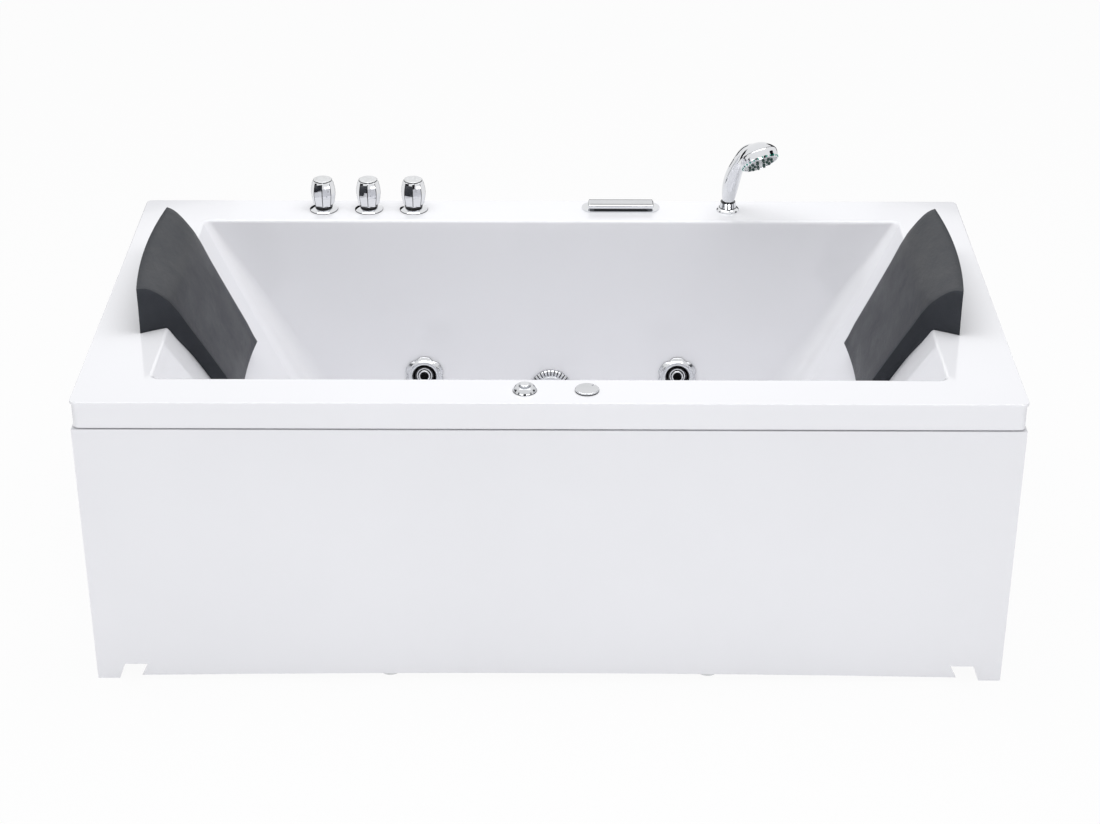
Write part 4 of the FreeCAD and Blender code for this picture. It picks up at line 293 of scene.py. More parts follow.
def build_materials(colours):
    """Every finish: first those of the record's slots, then those of the scene's own pieces."""
    chrome = tuple(colours.chrome)
    accent = tuple(colours.accent)
    return {
        "shell_acrylic": acrylic_material("shell_acrylic_finish", tuple(colours.acrylic), 0.11),
        "panel_acrylic": acrylic_material("panel_acrylic_finish", tuple(colours.panel), 0.17),
        "cushion_skin": cushion_material("cushion_skin_finish", tuple(colours.cushion)),
        "black_plastic": plastic_material("black_plastic_finish", (0.022, 0.022, 0.024), 0.45),
        "frame_steel": coated_material("frame_coat_finish", tuple(colours.steel)),
        "zinc_steel": brushed_material("zinc_finish", (0.62, 0.63, 0.64), 0.32),
        "plywood": plywood_material("plywood_finish", (0.56, 0.40, 0.24)),
        "spacer_plastic": plastic_material("spacer_finish", (0.72, 0.72, 0.70), 0.5),
        "chrome": chrome_material("chrome_finish", chrome),
        "jet_plastic": chrome_material("jet_nozzle_finish", shade(chrome, 0.92), 0.08),
        "spout_plinth": brushed_material("plinth_finish", (0.10, 0.105, 0.115), 0.28,
                                         (18.0, 1.0, 1.0)),
        "brass": brushed_material("brass_finish", (0.72, 0.52, 0.24), 0.26),
        "face_plastic": plastic_material("shower_face_finish", (0.50, 0.52, 0.53), 0.22),
        "teal_rubber": glossy_rubber_material("teal_finish", accent),
        "black_rubber": plastic_material("bellows_finish", (0.02, 0.02, 0.02), 0.6),
        "pipe_plastic": plastic_material("pipe_finish", (0.84, 0.84, 0.83), 0.3),
        "air_tube": plastic_material("air_tube_finish", (0.62, 0.66, 0.68), 0.22),
        "motor_casing": coated_material("motor_finish", (0.05, 0.075, 0.12)),
        "tap_cap": brushed_material("tap_cap_finish", tuple(colours.cap), 0.42, (1.0, 1.0, 1.0)),
        # Near black with little shine: painted shade in the nozzles' throats and behind the suction's slots
        "jet_bore": plastic_material("jet_bore_finish", (0.004, 0.004, 0.005), 0.6, shine=0.08),
        # Gloss black, also used for the lines, rings and stripes painted as shade and dark reflections round the
        # fittings
        "gloss_black": plastic_material("gloss_black_finish", (0.008, 0.008, 0.010), 0.10,
                                        grain=0.000004),
        "satin_bar": chrome_material("spout_bar_finish", (0.66, 0.67, 0.69), 0.14),
        "nozzle_rubber": glossy_rubber_material("nozzle_finish", shade(accent, 0.16)),
    }


def finish(name):
    """A finish by its slot name."""
    return bpy.data.materials[FINISHES[name]]


# ---------------------------------------------------------------------------------------------------
# Shaping

MERGE_DISTANCE = 1e-6
LONGEST_ROUND = 0.45  # share of an outline's stretch that one corner's round may take


def turned(outline, steps, closed):
    """A bmesh turned about Z from an outline of (radius, height) points."""
    shape = bmesh.new()
    points = [shape.verts.new((radius, 0.0, height)) for radius, height in outline]
    followers = points[1:] + points[:1] if closed else points[1:]
    edges = [shape.edges.new(pair) for pair in zip(points, followers)]
    bmesh.ops.spin(shape, geom=points + edges, cent=(0, 0, 0), axis=(0, 0, 1), dvec=(0, 0, 0),
                   angle=2 * math.pi, steps=steps, use_merge=True)
    bmesh.ops.remove_doubles(shape, verts=shape.verts, dist=MERGE_DISTANCE)
    bmesh.ops.recalc_face_normals(shape, faces=shape.faces)
    return shape


def lathe(outline, steps):
    """A turned solid, from an outline that starts and ends on the axis."""
    return turned(outline, steps, closed=False)


def tube_ring(outline, steps):
    """A turned ring, from an outline that runs round its section."""
    return turned(outline, steps, closed=True)


def soften(corners, radius, steps=3):
    """Replaces each inner corner of an outline by a short round of points."""
    points = [Vector(corner) for corner in corners]
    rounded = [points[0]]
    for before, corner, after in zip(points, points[1:], points[2:]):
        reach = min(radius, (before - corner).length * LONGEST_ROUND,
                    (after - corner).length * LONGEST_ROUND)
        start = corner + (before - corner).normalized() * reach
        end = corner + (after - corner).normalized() * reach
        for index in range(steps + 1):
            share = index / steps
            rounded.append(start.lerp(corner, share).lerp(corner.lerp(end, share), share))
    rounded.append(points[-1])
    return [(point.x, point.y) for point in rounded]


def keep_piece(name, shape, slot, body, place=Matrix.Identity(4), sharp=35.0):
    """Turns a bmesh into a piece in its place, with its finish, on its body."""
    bmesh.ops.transform(shape, matrix=place, verts=shape.verts)
    mesh = bpy.data.meshes.new(name)
    shape.to_mesh(mesh)
    shape.free()
    mesh.polygons.foreach_set("use_smooth", [True] * len(mesh.polygons))
    mesh.set_sharp_from_angle(angle=math.radians(sharp))
    mesh.materials.append(finish(slot))
    piece = bpy.data.objects.new(name, mesh)
    bpy.context.scene.collection.objects.link(piece)
    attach(piece, body)
    return piece


def join(shapes):
    """One bmesh with the faces of several."""
    whole = shapes[0]
    for shape in shapes[1:]:
        mesh = bpy.data.meshes.new("part")
        shape.to_mesh(mesh)
        shape.free()
        whole.from_mesh(mesh)
        bpy.data.meshes.remove(mesh)
    return whole


def wall_place(side, x, z):
    """The matrix of a fitting on the basin's back (+1) or front (-1) wall; its Z points inwards."""
    run = SIDE_SLOPE * (RIM_TOP - z)
    y = BACK_WALL_Y - run if side > 0 else FRONT_WALL_Y + run
    lean = side * (math.pi / 2 - math.atan(SIDE_SLOPE))
    return Matrix.Translation((x, y, z)) @ Matrix.Rotation(lean, 4, "X")


def rim_place(low, high):
    """The matrix of a fitting on the rim, under the middle of a CAD node's box."""
    return Matrix.Translation(((low.x + high.x) / 2, (low.y + high.y) / 2, RIM_TOP))


def refinish(name, slot):
    """Gives a CAD node that stays a finish."""
    materials = frame["nodes"][name].data.materials
    materials.clear()
    materials.append(finish(slot))


def finish_nodes(*names):
    """Gives CAD nodes that stay the finish of their slot."""
    for name in names:
        refinish(name, NODE_SLOTS[name])


# ---------------------------------------------------------------------------------------------------
# Operators


class TUB_OT_finishes(Operator):
    """Make every finish of the tub."""

    bl_idname = "tub.finishes"
    bl_label = "Finishes"

    def execute(self, context):
        for slot, material in build_materials(context.scene.tub_colours).items():
            FINISHES[slot] = material.name
        return {"FINISHED"}


class TUB_OT_shell(Operator):
    """Finish the acrylic shell, its apron and its end panels."""

    bl_idname = "tub.shell"
    bl_label = "Shell and panels"

    def execute(self, context):
        finish_nodes("tub_shell", "front_apron", "left_end_panel", "right_end_panel")
        return {"FINISHED"}


# The right headrest, in x from the tub's middle and height; the left one is its mirror image
REST_TOP_LINE = ((0.765, 0.682), (0.753, 0.6808), (0.741, 0.674), (0.728, 0.6625), (0.710, 0.6425),
                 (0.695, 0.617), (0.680, 0.586), (0.663, 0.5535), (0.645, 0.519), (0.628, 0.486),
                 (0.612, 0.455), (0.600, 0.4265), (0.593, 0.4135))
REST_OUTER_X, REST_INNER_X = REST_TOP_LINE[0][0], REST_TOP_LINE[-1][0]
REST_OUTER_HALF, REST_INNER_HALF = 0.190, 0.128  # half widths at the two ends
REST_MIDDLE_Y = 0.012
REST_HOLLOW = 0.0088  # how far the long sides pull in halfway
REST_OUTER_BOW, REST_INNER_BOW = 0.013, 0.0065  # how far the two ends bow out in the middle
REST_CROWN_LEAN = 0.6
REST_GRID = (40, 28)
REST_SIDE_CUTS = 5
REST_CORNER_ANGLE = math.radians(48)
REST_CORNER_ROUND = 0.0022

# What the headrests lie on: the rim, and from the end wall's top down the wall; a hair's gap is left
RIM_LEVEL = 0.5903
WALL_TOP_X, WALL_TOP_LEVEL = 0.718, 0.5908
WALL_START_X = 0.7177  # the two levels meet here
WALL_NORMAL_X = 0.876
WALL_UPRIGHT = 2.075  # upright distance to the end wall for each metre square to it
LEAN_START_X, LEAN_RUN = 0.700, 0.05  # the sides turn from upright to square to the wall


def rest_top(share):
    """A point of the headrest's top line, from its outer end to its foot, as (x, height)."""
    lengths = [0.0]
    for before, after in zip(REST_TOP_LINE, REST_TOP_LINE[1:]):
        lengths.append(lengths[-1] + math.dist(before, after))
    wanted = share * lengths[-1]
    last = len(REST_TOP_LINE) - 1
    index = next((index for index in range(1, last) if wanted <= lengths[index]), last)
    part = (wanted - lengths[index - 1]) / (lengths[index] - lengths[index - 1])
    start, end = Vector(REST_TOP_LINE[index - 1]), Vector(REST_TOP_LINE[index])
    return start.lerp(end, min(part, 1.0))


def rest_half_width(x):
    """Half the headrest's width at x: its long sides are hollow."""
    share = min(max((x - REST_INNER_X) / (REST_OUTER_X - REST_INNER_X), 0.0), 1.0)
    straight = REST_INNER_HALF + share * (REST_OUTER_HALF - REST_INNER_HALF)
    return straight - REST_HOLLOW * 4 * share * (1 - share)


def rest_surface(share, turn, crown):
    """A point of the headrest's top; share runs from outer end to foot, turn from -1 to 1 across."""
    top = rest_top(share)
    x = top.x + REST_OUTER_BOW * (1 - turn * turn) * max(1 - share * 4, 0.0) ** 0.8
    x += REST_INNER_BOW * (1 - turn * turn) * share ** 6
    swell = (1 - turn ** 4) * math.sin(math.pi * min(share * 1.02, 1.0)) ** 0.5
    lift = crown * swell
    return (x + lift * -REST_CROWN_LEAN, REST_MIDDLE_Y + turn * rest_half_width(top.x),
            top.y + lift * REST_CROWN_LEAN)


def rest_underside(x):
    """Height of what the headrest lies on: the rim, then the sloping end wall."""
    return RIM_LEVEL if x > WALL_START_X else WALL_TOP_LEVEL - (WALL_TOP_X - x) / END_SLOPE


def rest_foot(x, height):
    """Where a line from the headrest's top lands: upright on the rim, square to the wall below it."""
    reach = (height - rest_underside(x)) / WALL_UPRIGHT
    lean = min(max((LEAN_START_X - x) / LEAN_RUN, 0.0), 1.0)
    foot = x + WALL_NORMAL_X * reach * lean
    return foot, rest_underside(foot)


class TUB_OT_headrests(Operator):
    """Build the two moulded headrests."""

    bl_idname = "tub.headrests"
    bl_label = "Headrests"

    def execute(self, context):
        sizes = context.scene.tub_sizes
        for side, name in ((-1, "left_headrest"), (1, "right_headrest")):
            shape = bmesh.new()
            bmesh.ops.create_grid(shape, x_segments=REST_GRID[0], y_segments=REST_GRID[1], size=1.0)
            for point in shape.verts:
                point.co = rest_surface((point.co.x + 1) / 2, point.co.y, sizes.cushion_crown)
            drop = shape.verts.layers.float.new("drop")
            rim = [edge for edge in shape.edges if edge.is_boundary]
            for point in bmesh.ops.extrude_edge_only(shape, edges=rim)["geom"]:
                if isinstance(point, bmesh.types.BMVert):
                    point.co.x, point.co.z = rest_foot(point.co.x, point.co.z)
                    point[drop] = 1.0
            posts = [edge for edge in shape.edges if edge.verts[0][drop] != edge.verts[1][drop]]
            bmesh.ops.subdivide_edges(shape, edges=posts, cuts=REST_SIDE_CUTS)
            for point in shape.verts:
                pull = sizes.cushion_waist * math.sin(math.pi * point[drop])
                point.co.y += (REST_MIDDLE_Y - point.co.y) * pull / REST_OUTER_HALF
            rim = [edge for edge in shape.edges if edge.is_boundary]
            bmesh.ops.holes_fill(shape, edges=rim, sides=0)
            bmesh.ops.triangulate(shape, faces=[face for face in shape.faces if len(face.verts) > 4])
            bmesh.ops.scale(shape, vec=(side, 1, 1), verts=shape.verts)
            bmesh.ops.recalc_face_normals(shape, faces=shape.faces)
            corners = [edge for edge in shape.edges
                       if len(edge.link_faces) == 2 and edge.calc_face_angle(0.0) > REST_CORNER_ANGLE]
            bmesh.ops.bevel(shape, geom=corners, offset=REST_CORNER_ROUND, offset_type="OFFSET",
                            segments=3, profile=0.5, affect="EDGES", material=-1, clamp_overlap=True)
            piece = keep_piece(name + "_cushion", shape, "cushion_skin", "tub", sharp=70.0)
            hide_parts(name)
        return {"FINISHED"}


def contact_shade_line(name, place, radius):
    """A black ring painted as the shade where a round fitting meets the rim."""
    inner, outer, bottom, top = radius - 0.0016, radius + 0.0005, 0.0002, 0.0011
    ring = tube_ring([(inner, bottom), (outer, bottom), (outer, top), (inner, top)], 72)
    keep_piece(name, ring, "gloss_black", "tub", place)


# A tap knob, as (radius, height over the rim)
TAP_BARREL = ((0.0, 0.0120), (0.0125, 0.0120), (0.0205, 0.0120), (0.0214, 0.0132), (0.0224, 0.0180),
              (0.0240, 0.0260), (0.0254, 0.0380), (0.0250, 0.0460), (0.0237, 0.0540),
              (0.0223, 0.0600), (0.0211, 0.0640), (0.0205, 0.0650), (0.0198, 0.0654), (0.0, 0.0654))
# A black spindle; its wide skirt under the barrel is painted shade below the knob
TAP_SPINDLE = ((0.0, -0.045), (0.004, -0.045), (0.004, 0.0073), (0.0186, 0.0073), (0.0190, 0.0124),
               (0.0, 0.0124))
# A thin black ring between barrel and cap, painted as the shade of the groove under the cap
TAP_CAP_SHADE_RING = ((0.0, 0.0652), (0.0194, 0.0652), (0.0194, 0.0670), (0.0, 0.0670))
TAP_CAP = ((0.0, 0.0669), (0.0188, 0.0669), (0.0190, 0.0674), (0.0182, 0.0679), (0.0, 0.0680))
TAP_FACET = math.pi / 8  # half the turn of one of the eight faces
TAP_ROUND_CORE = 0.0135  # nearer the axis the barrel stays round
TAP_REFLECTION_SHARE = 0.9  # the painted dark reflection along each ridge starts at this share of half a face
TAP_REFLECTION_BOTTOM, TAP_REFLECTION_TOP = 0.0145, 0.0630


def off_middle(place):
    """How far a point of a tap knob is turned from the middle of its face."""
    angle = math.atan2(place.y, place.x)
    return TAP_FACET - abs((angle + TAP_FACET) % (2 * TAP_FACET) - TAP_FACET)


def flatten_faces(barrel, flute):
    """Cuts the round barrel of a tap knob to its slightly hollow faces."""
    for point in barrel.verts:
        radius = math.hypot(point.co.x, point.co.y)
        if radius < TAP_ROUND_CORE:
            continue
        bend = off_middle(point.co)
        flat = math.cos(TAP_FACET) / math.cos(bend)
        hollow = flute * math.cos(math.pi / 2 * bend / TAP_FACET)
        scale = flat - hollow / radius
        point.co.x *= scale
        point.co.y *= scale
    bmesh.ops.recalc_face_normals(barrel, faces=barrel.faces)


class TUB_OT_taps(Operator):
    """Build the faceted tap knobs with their satin caps."""

    bl_idname = "tub.taps"
    bl_label = "Taps"

    def execute(self, context):
        finish_nodes("knob_flanges", "valve_bodies", "deck_nuts")
        for node, body in TAP_BODIES:
            place = rim_place(*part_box(node))
            barrel = lathe(soften(TAP_BARREL, 0.0004, 2), 192)
            flatten_faces(barrel, context.scene.tub_sizes.flute_depth)
            # Faces along each ridge get gloss black: painted dark reflections, as stripes down the knob
            for face in barrel.faces:
                centre = face.calc_center_median()
                in_painted_reflection = off_middle(centre) > TAP_FACET * TAP_REFLECTION_SHARE
                face.material_index = int(in_painted_reflection and TAP_REFLECTION_BOTTOM < centre.z < TAP_REFLECTION_TOP)
            knob = keep_piece(node + "_barrel", barrel, "chrome", body, place, sharp=60.0)
            knob.data.materials.append(finish("gloss_black"))
            # The black neck's skirt is painted shade under the knob
            spindle = lathe(soften(TAP_SPINDLE, 0.0004), 64)
            neck = keep_piece(node + "_neck", spindle, "gloss_black", body, place)
            # The black ring under the cap is painted shade of the groove
            cap_shade_ring = lathe(soften(TAP_CAP_SHADE_RING, 0.0001), 64)
            keep_piece(node + "_seam", cap_shade_ring, "gloss_black", body, place)
            cap = lathe(soften(TAP_CAP, 0.0003), 64)
            keep_piece(node + "_cap", cap, "tap_cap", body, place)
            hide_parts(node)
            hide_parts(node)
            contact_shade_line(node + "_contact_shade_line", place, FLANGE_RADIUS)
        return {"FINISHED"}


def bar(x0, x1, y0, y1, z0, z1, rounding):
    """A soft-edged bar between two corners."""
    shape = bmesh.new()
    bmesh.ops.create_cube(shape, size=1.0)
    bmesh.ops.scale(shape, vec=(x1 - x0, y1 - y0, z1 - z0), verts=shape.verts)
    bmesh.ops.translate(shape, vec=((x0 + x1) / 2, (y0 + y1) / 2, (z0 + z1) / 2), verts=shape.verts)
    bmesh.ops.bevel(shape, geom=list(shape.edges), offset=rounding, offset_type="OFFSET", segments=3,
                    profile=0.5, affect="EDGES", material=-1)
    return shape


class TUB_OT_spout(Operator):
    """Finish the waterfall spout: satin bar, bright lip, and strips painted as shade between them and at the back.
    """

    bl_idname = "tub.spout"
    bl_label = "Spout"

    def execute(self, context):
        finish_nodes("spout_base")
        refinish("spout_body", "satin_bar")
        low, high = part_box("spout_body")
        # A black strip painted as shade where the bar meets the lip
        line = bar(low.x + 0.004, high.x - 0.004, low.y + 0.0062, low.y + 0.0078,
                   high.z - 0.0004, high.z + 0.0002, 0.0001)
        keep_piece("spout_line", line, "gloss_black", "tub")
        lip = bar(low.x + 0.0008, high.x - 0.0008, low.y - 0.0011, low.y + 0.0056,
                  low.z + 0.0008, high.z + 0.0006, 0.0016)
        keep_piece("spout_lip", lip, "chrome", "tub")
        # A dark strip painted as shade along the bar's back edge
        back = bar(low.x + 0.002, high.x - 0.002, high.y - 0.0030, high.y - 0.0016,
                   high.z - 0.0006, high.z + 0.0002, 0.0001)
        keep_piece("spout_back_shade_line", back, "spout_plinth", "tub")
        return {"FINISHED"}


# The shower's turning face, as (radius, height along its axis)
SHOWER_RING = ((0.0125, 0.0004), (0.0407, 0.0004), (0.0410, 0.0030), (0.0408, 0.0085),
               (0.0392, 0.0150), (0.0366, 0.0196), (0.0352, 0.0200), (0.0345, 0.0185),
               (0.0340, 0.0120), (0.0125, 0.0120))
SHOWER_PLATE = ((0.0, -0.0088), (0.0119, -0.0088), (0.0119, 0.0110), (0.0342, 0.0110),
                (0.0342, 0.0178), (0.0300, 0.0186), (0.0150, 0.0186), (0.0130, 0.0192),
                (0.0, 0.0194))
SHOWER_DOT = ((0.0, -0.0006), (0.0022, -0.0006), (0.0020, 0.0004), (0.0, 0.0008))
SHOWER_STUB = ((0.0, 0.0180), (0.0031, 0.0180), (0.0027, 0.0205), (0.0022, 0.0234), (0.0, 0.0234))
SHOWER_TAB = ((0.0, -0.0010), (0.0050, -0.0010), (0.0048, 0.0016), (0.0036, 0.0027), (0.0, 0.0029))
SOCKET_SEAL = ((0.0129, 0.0186), (0.0154, 0.0186), (0.0154, 0.0200), (0.0129, 0.0200))
# A black band round the socket's collar, painted as a dark reflection
SOCKET_COLLAR_REFLECTION = ((0.0170, 0.0060), (0.0181, 0.0060), (0.0181, 0.0082), (0.0168, 0.0082))
SHOWER_ACROSS = Vector((0.866025, 0.5, 0.0))  # square to the face's axis
DOT_COUNT, DOT_CIRCLE, DOT_HEIGHT, DOT_TILT = 26, 0.0381, 0.0172, math.radians(58)
STUB_CIRCLES = ((12, 0.024), (6, 0.013))  # count and radius
TAB_PLACE = (0.0, -0.0405, 0.0098)


def turned_copies(outline, steps, count, offset, seat):
    """Copies of a small turned solid round a circle; offset turns them by that share of a step."""
    copies = []
    for index in range(count):
        copy = lathe(outline, steps)
        turn = Matrix.Rotation(2 * math.pi * (index + offset) / count, 4, "Z")
        bmesh.ops.transform(copy, matrix=turn @ seat, verts=copy.verts)
        copies.append(copy)
    return copies


class TUB_OT_hand_shower(Operator):
    """Build the shower's turning face with its ring of dots, nozzles and tab, and finish the handle."""

    bl_idname = "tub.hand_shower"
    bl_label = "Hand shower"

    def execute(self, context):
        finish_nodes("shower_handle", "shower_socket")
        joint = next(item for item in frame["joints"] if item["name"] == "spray_face_turn")
        axis = Vector(joint["axis"]).normalized()
        turn = Matrix((SHOWER_ACROSS, axis.cross(SHOWER_ACROSS), axis)).transposed().to_4x4()
        place = Matrix.Translation(joint["pos_m"]) @ turn
        ring = tube_ring(soften(SHOWER_RING, 0.0006), 96)
        face_ring = keep_piece("shower_face_ring", ring, "chrome", "spray_face", place, 40.0)
        plate = lathe(soften(SHOWER_PLATE, 0.0005), 72)
        face_plate = keep_piece("shower_face_plate", plate, "face_plastic", "spray_face", place, 40.0)
        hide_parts("shower_face")
        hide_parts("shower_face")
        seat = Matrix.Translation((DOT_CIRCLE, 0.0, DOT_HEIGHT)) @ Matrix.Rotation(DOT_TILT, 4, "Y")
        dots = join(turned_copies(SHOWER_DOT, 12, DOT_COUNT, 0, seat))
        dot_piece = keep_piece("shower_dots", dots, "teal_rubber", "spray_face", place)
        stubs = []
        for count, radius in STUB_CIRCLES:
            seat = Matrix.Translation((radius, 0.0, 0.0))
            stubs += turned_copies(soften(SHOWER_STUB, 0.0004, 2), 14, count, 0.5, seat)
        stub_piece = keep_piece("shower_stubs", join(stubs), "nozzle_rubber", "spray_face", place)
        tab = lathe(soften(SHOWER_TAB, 0.0008), 28)
        seat = Matrix.Translation(TAB_PLACE) @ Matrix.Rotation(math.radians(90), 4, "X")
        bmesh.ops.transform(tab, matrix=seat, verts=tab.verts)
        tab_piece = keep_piece("shower_tab", tab, "teal_rubber", "spray_face", place)
        for piece in (dot_piece, stub_piece, tab_piece):
            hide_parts("shower_nozzles")
        socket = rim_place(*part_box("shower_socket"))
        seal = tube_ring(soften(SOCKET_SEAL, 0.0003), 64)
        keep_piece("shower_socket_seal", seal, "gloss_black", "tub", socket)
        # The black band on the collar is a painted dark reflection
        collar = tube_ring(soften(SOCKET_COLLAR_REFLECTION, 0.0003), 64)
        keep_piece("shower_collar_painted_reflection", collar, "gloss_black", "tub", socket)
        return {"FINISHED"}


# A black ring painted as the shade in the gap round the button's cap
BUTTON_GAP_SHADE = ((0.0100, 0.0078), (0.0112, 0.0078), (0.0112, 0.0096), (0.0100, 0.0084))
BELLOWS_FOLDS, BELLOWS_INNER, BELLOWS_OUTER = 6, 0.0060, 0.0090


class TUB_OT_controls(Operator):
    """Build the button's bellows and its ring of painted shade, and finish the button and the air control."""

    bl_idname = "tub.controls"
    bl_label = "Controls"

    def execute(self, context):
        finish_nodes("button_cap", "air_control_body")
        refinish("button_bezel", "satin_bar")
        refinish("air_knob", "satin_bar")
        low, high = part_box("button_bellows")
        height = high.z - low.z
        folds = [(BELLOWS_OUTER if step % 2 else BELLOWS_INNER, height * step / BELLOWS_FOLDS)
                 for step in range(BELLOWS_FOLDS + 1)]
        foot = ((low.x + high.x) / 2, (low.y + high.y) / 2, low.z)
        bellows = keep_piece("button_bellows_folds", lathe([(0.0, 0.0), *folds, (0.0, height)], 48),
                             "black_rubber", "tub", Matrix.Translation(foot), 80.0)
        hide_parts("button_bellows")
        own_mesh(bellows)
        low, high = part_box("button_bezel")
        place = rim_place(low, high)
        # The black ring round the cap is painted shade of the gap
        seal = tube_ring(soften(BUTTON_GAP_SHADE, 0.0002), 64)
        keep_piece("button_gap_shade", seal, "gloss_black", "tub", place)
        contact_shade_line("button_contact_shade_line", place, (high.x - low.x) / 2)
        low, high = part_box("air_knob")
        contact_shade_line("air_control_contact_shade_line", rim_place(low, high), (high.x - low.x) / 2)
        return {"FINISHED"}


# A jet's ring, as (radius, height over the basin's wall), and its nozzle, from the ball's middle
JET_RING = ((0.0344, 0.0004), (0.0408, 0.0004), (0.0408, 0.0018), (0.0408, 0.0035), (0.0375, 0.0052),
            (0.0340, 0.0076), (0.0322, 0.0103), (0.0290, 0.0109), (0.0262, 0.0104), (0.0251, 0.0088),
            (0.0250, 0.0024), (0.0344, 0.0024))
JET_INSET = ((0.0214, 0.0024), (0.0251, 0.0024), (0.0251, 0.0078), (0.0236, 0.0070), (0.0216, 0.0040))
NOZZLE_BALL = ((0.0166, -0.0100), (0.0195, -0.0100), (0.0219, -0.0030), (0.0219, 0.0040),
               (0.0204, 0.0078), (0.0190, 0.0092), (0.0178, 0.0090), (0.0166, 0.0050))
NOZZLE_MOUTH = ((0.0085, -0.0098), (0.0166, -0.0098), (0.0166, 0.0056), (0.0142, 0.0050),
                (0.0126, 0.0086), (0.0110, 0.0098), (0.0094, 0.0092), (0.0085, 0.0060))
NOZZLE_THROAT = ((0.0, -0.0095), (0.0086, -0.0095), (0.0086, 0.0010), (0.0, 0.0010))
LOBE_START, LOBE_RUN = 0.0344, 0.0064  # radius where the lobes begin, and how far they deepen
LOBE_EDGE = 0.0350  # points within this radius keep their place
LOBE_SHARPNESS = 7
JET_SHADOW_HEIGHT = 0.0018  # the ring's edge is painted black below this height, as its shadow


def cut_lobes(ring, lobes, depth):
    """Pulls the outer edge of a jet's ring in between its lobes."""
    for point in ring.verts:
        radius = math.hypot(point.co.x, point.co.y)
        if radius < LOBE_EDGE:
            continue
        angle = math.atan2(point.co.y, point.co.x)
        valley = abs(math.cos(lobes * angle / 2)) ** LOBE_SHARPNESS
        pull = depth * valley * min((radius - LOBE_START) / LOBE_RUN, 1.0)
        point.co.x *= 1 - pull / radius
        point.co.y *= 1 - pull / radius
    bmesh.ops.recalc_face_normals(ring, faces=ring.faces)


class TUB_OT_jets(Operator):
    """Build the lobed jet rings and their swivelling nozzles."""

    bl_idname = "tub.jets"
    bl_label = "Jets"

    def execute(self, context):
        sizes = context.scene.tub_sizes
        finish_nodes("jet_bodies", "jet_lock_nuts")
        places = [(side, x) for side in (1, -1) for x in (-JET_X, JET_X)]
        for number, (side, x) in enumerate(places, start=1):
            ring_body, nozzle_body = f"jet_ring_{number}", f"jet_nozzle_{number}"
            place = wall_place(side, x, JET_Z)
            ring = tube_ring(soften(JET_RING, 0.0010), 144)
            cut_lobes(ring, sizes.lobes, sizes.lobe_depth)
            # Faces of the ring's outer edge low down get gloss black: a painted shadow round the ring
            for face in ring.faces:
                centre = face.calc_center_median()
                outside = math.hypot(centre.x, centre.y) > LOBE_EDGE
                face.material_index = int(centre.z < JET_SHADOW_HEIGHT and outside)
            lobed = keep_piece(f"jet_ring_{number}_lobed", ring, "satin_bar", ring_body, place, 50.0)
            lobed.data.materials.append(finish("gloss_black"))
            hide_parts(f"jet_ring_{number}")
            inset = tube_ring(soften(JET_INSET, 0.0005), 72)
            keep_piece(f"jet_ring_{number}_inset", inset, "gloss_black", ring_body, place, 50.0)
            middle = place @ Matrix.Translation((0, 0, -BALL_SINK))
            shell = tube_ring(soften(NOZZLE_BALL, 0.0008), 72)
            ball = keep_piece(f"jet_nozzle_{number}_ball", shell, "gloss_black", nozzle_body,
                              middle, 50.0)
            cone = tube_ring(soften(NOZZLE_MOUTH, 0.0007), 72)
            mouth = keep_piece(f"jet_nozzle_{number}_mouth", cone, "jet_plastic", nozzle_body,
                               middle, 50.0)
            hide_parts(f"jet_nozzle_{number}")
            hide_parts(f"jet_nozzle_{number}")
            # A black plug deep in the nozzle's throat: painted shade of the bore
            plug = lathe(NOZZLE_THROAT, 32)
            keep_piece(f"jet_nozzle_{number}_throat", plug, "jet_bore", nozzle_body, middle)
        return {"FINISHED"}


# A thin black ring behind the cover's slots: painted shade of the hollow behind them
SUCTION_SLOT_SHADE = ((0.0350, 0.0030), (0.0444, 0.0030), (0.0444, 0.0038), (0.0350, 0.0038))
SUCTION_DISC = ((0.0, 0.0086), (0.0318, 0.0086), (0.0322, 0.0096), (0.0300, 0.0104), (0.0, 0.0106))


class TUB_OT_suction(Operator):
    """Build the suction's painted slot shade and bright disc, and finish its cover, body and pipe."""

    bl_idname = "tub.suction"
    bl_label = "Suction"

    def execute(self, context):
        finish_nodes("suction_body", "suction_pipe")
        refinish("suction_cover", "satin_bar")
        place = wall_place(1, 0.0, SUCTION_Z)
        # The black ring is painted shade behind the slots
        keep_piece("suction_slot_shade", tube_ring(SUCTION_SLOT_SHADE, 96), "jet_bore", "tub", place)
        disc = lathe(soften(SUCTION_DISC, 0.0006), 96)
        keep_piece("suction_disc", disc, "chrome", "tub", place, 40.0)
        return {"FINISHED"}


class TUB_OT_drain(Operator):
    """Finish the drain, its plug and the overflow."""

    bl_idname = "tub.drain"
    bl_label = "Drain and overflow"

    def execute(self, context):
        finish_nodes("drain_flange", "drain_plug", "waste_body", "overflow_plate", "overflow_knob",
                     "overflow_pipe")
        return {"FINISHED"}


class TUB_OT_frame(Operator):
    """Finish the frame, its feet and the base board."""

    bl_idname = "tub.frame"
    bl_label = "Frame"

    def execute(self, context):
        finish_nodes("frame_rails", "frame_cross_tubes", "frame_legs", "levelling_feet", "foot_lock_nuts",
                     "base_board", "panel_spacers", "headrest_pegs")
        return {"FINISHED"}


class TUB_OT_pump(Operator):
    """Finish the pump, the pipes and the control box."""

    bl_idname = "tub.pump"
    bl_label = "Pump and pipes"

    def execute(self, context):
        finish_nodes("pump_casing", "pump_motor", "motor_end_cover", "pump_rotor", "pump_base",
                     "water_manifold", "air_manifold", "supply_pipes", "control_box", "cable_gland")
        return {"FINISHED"}


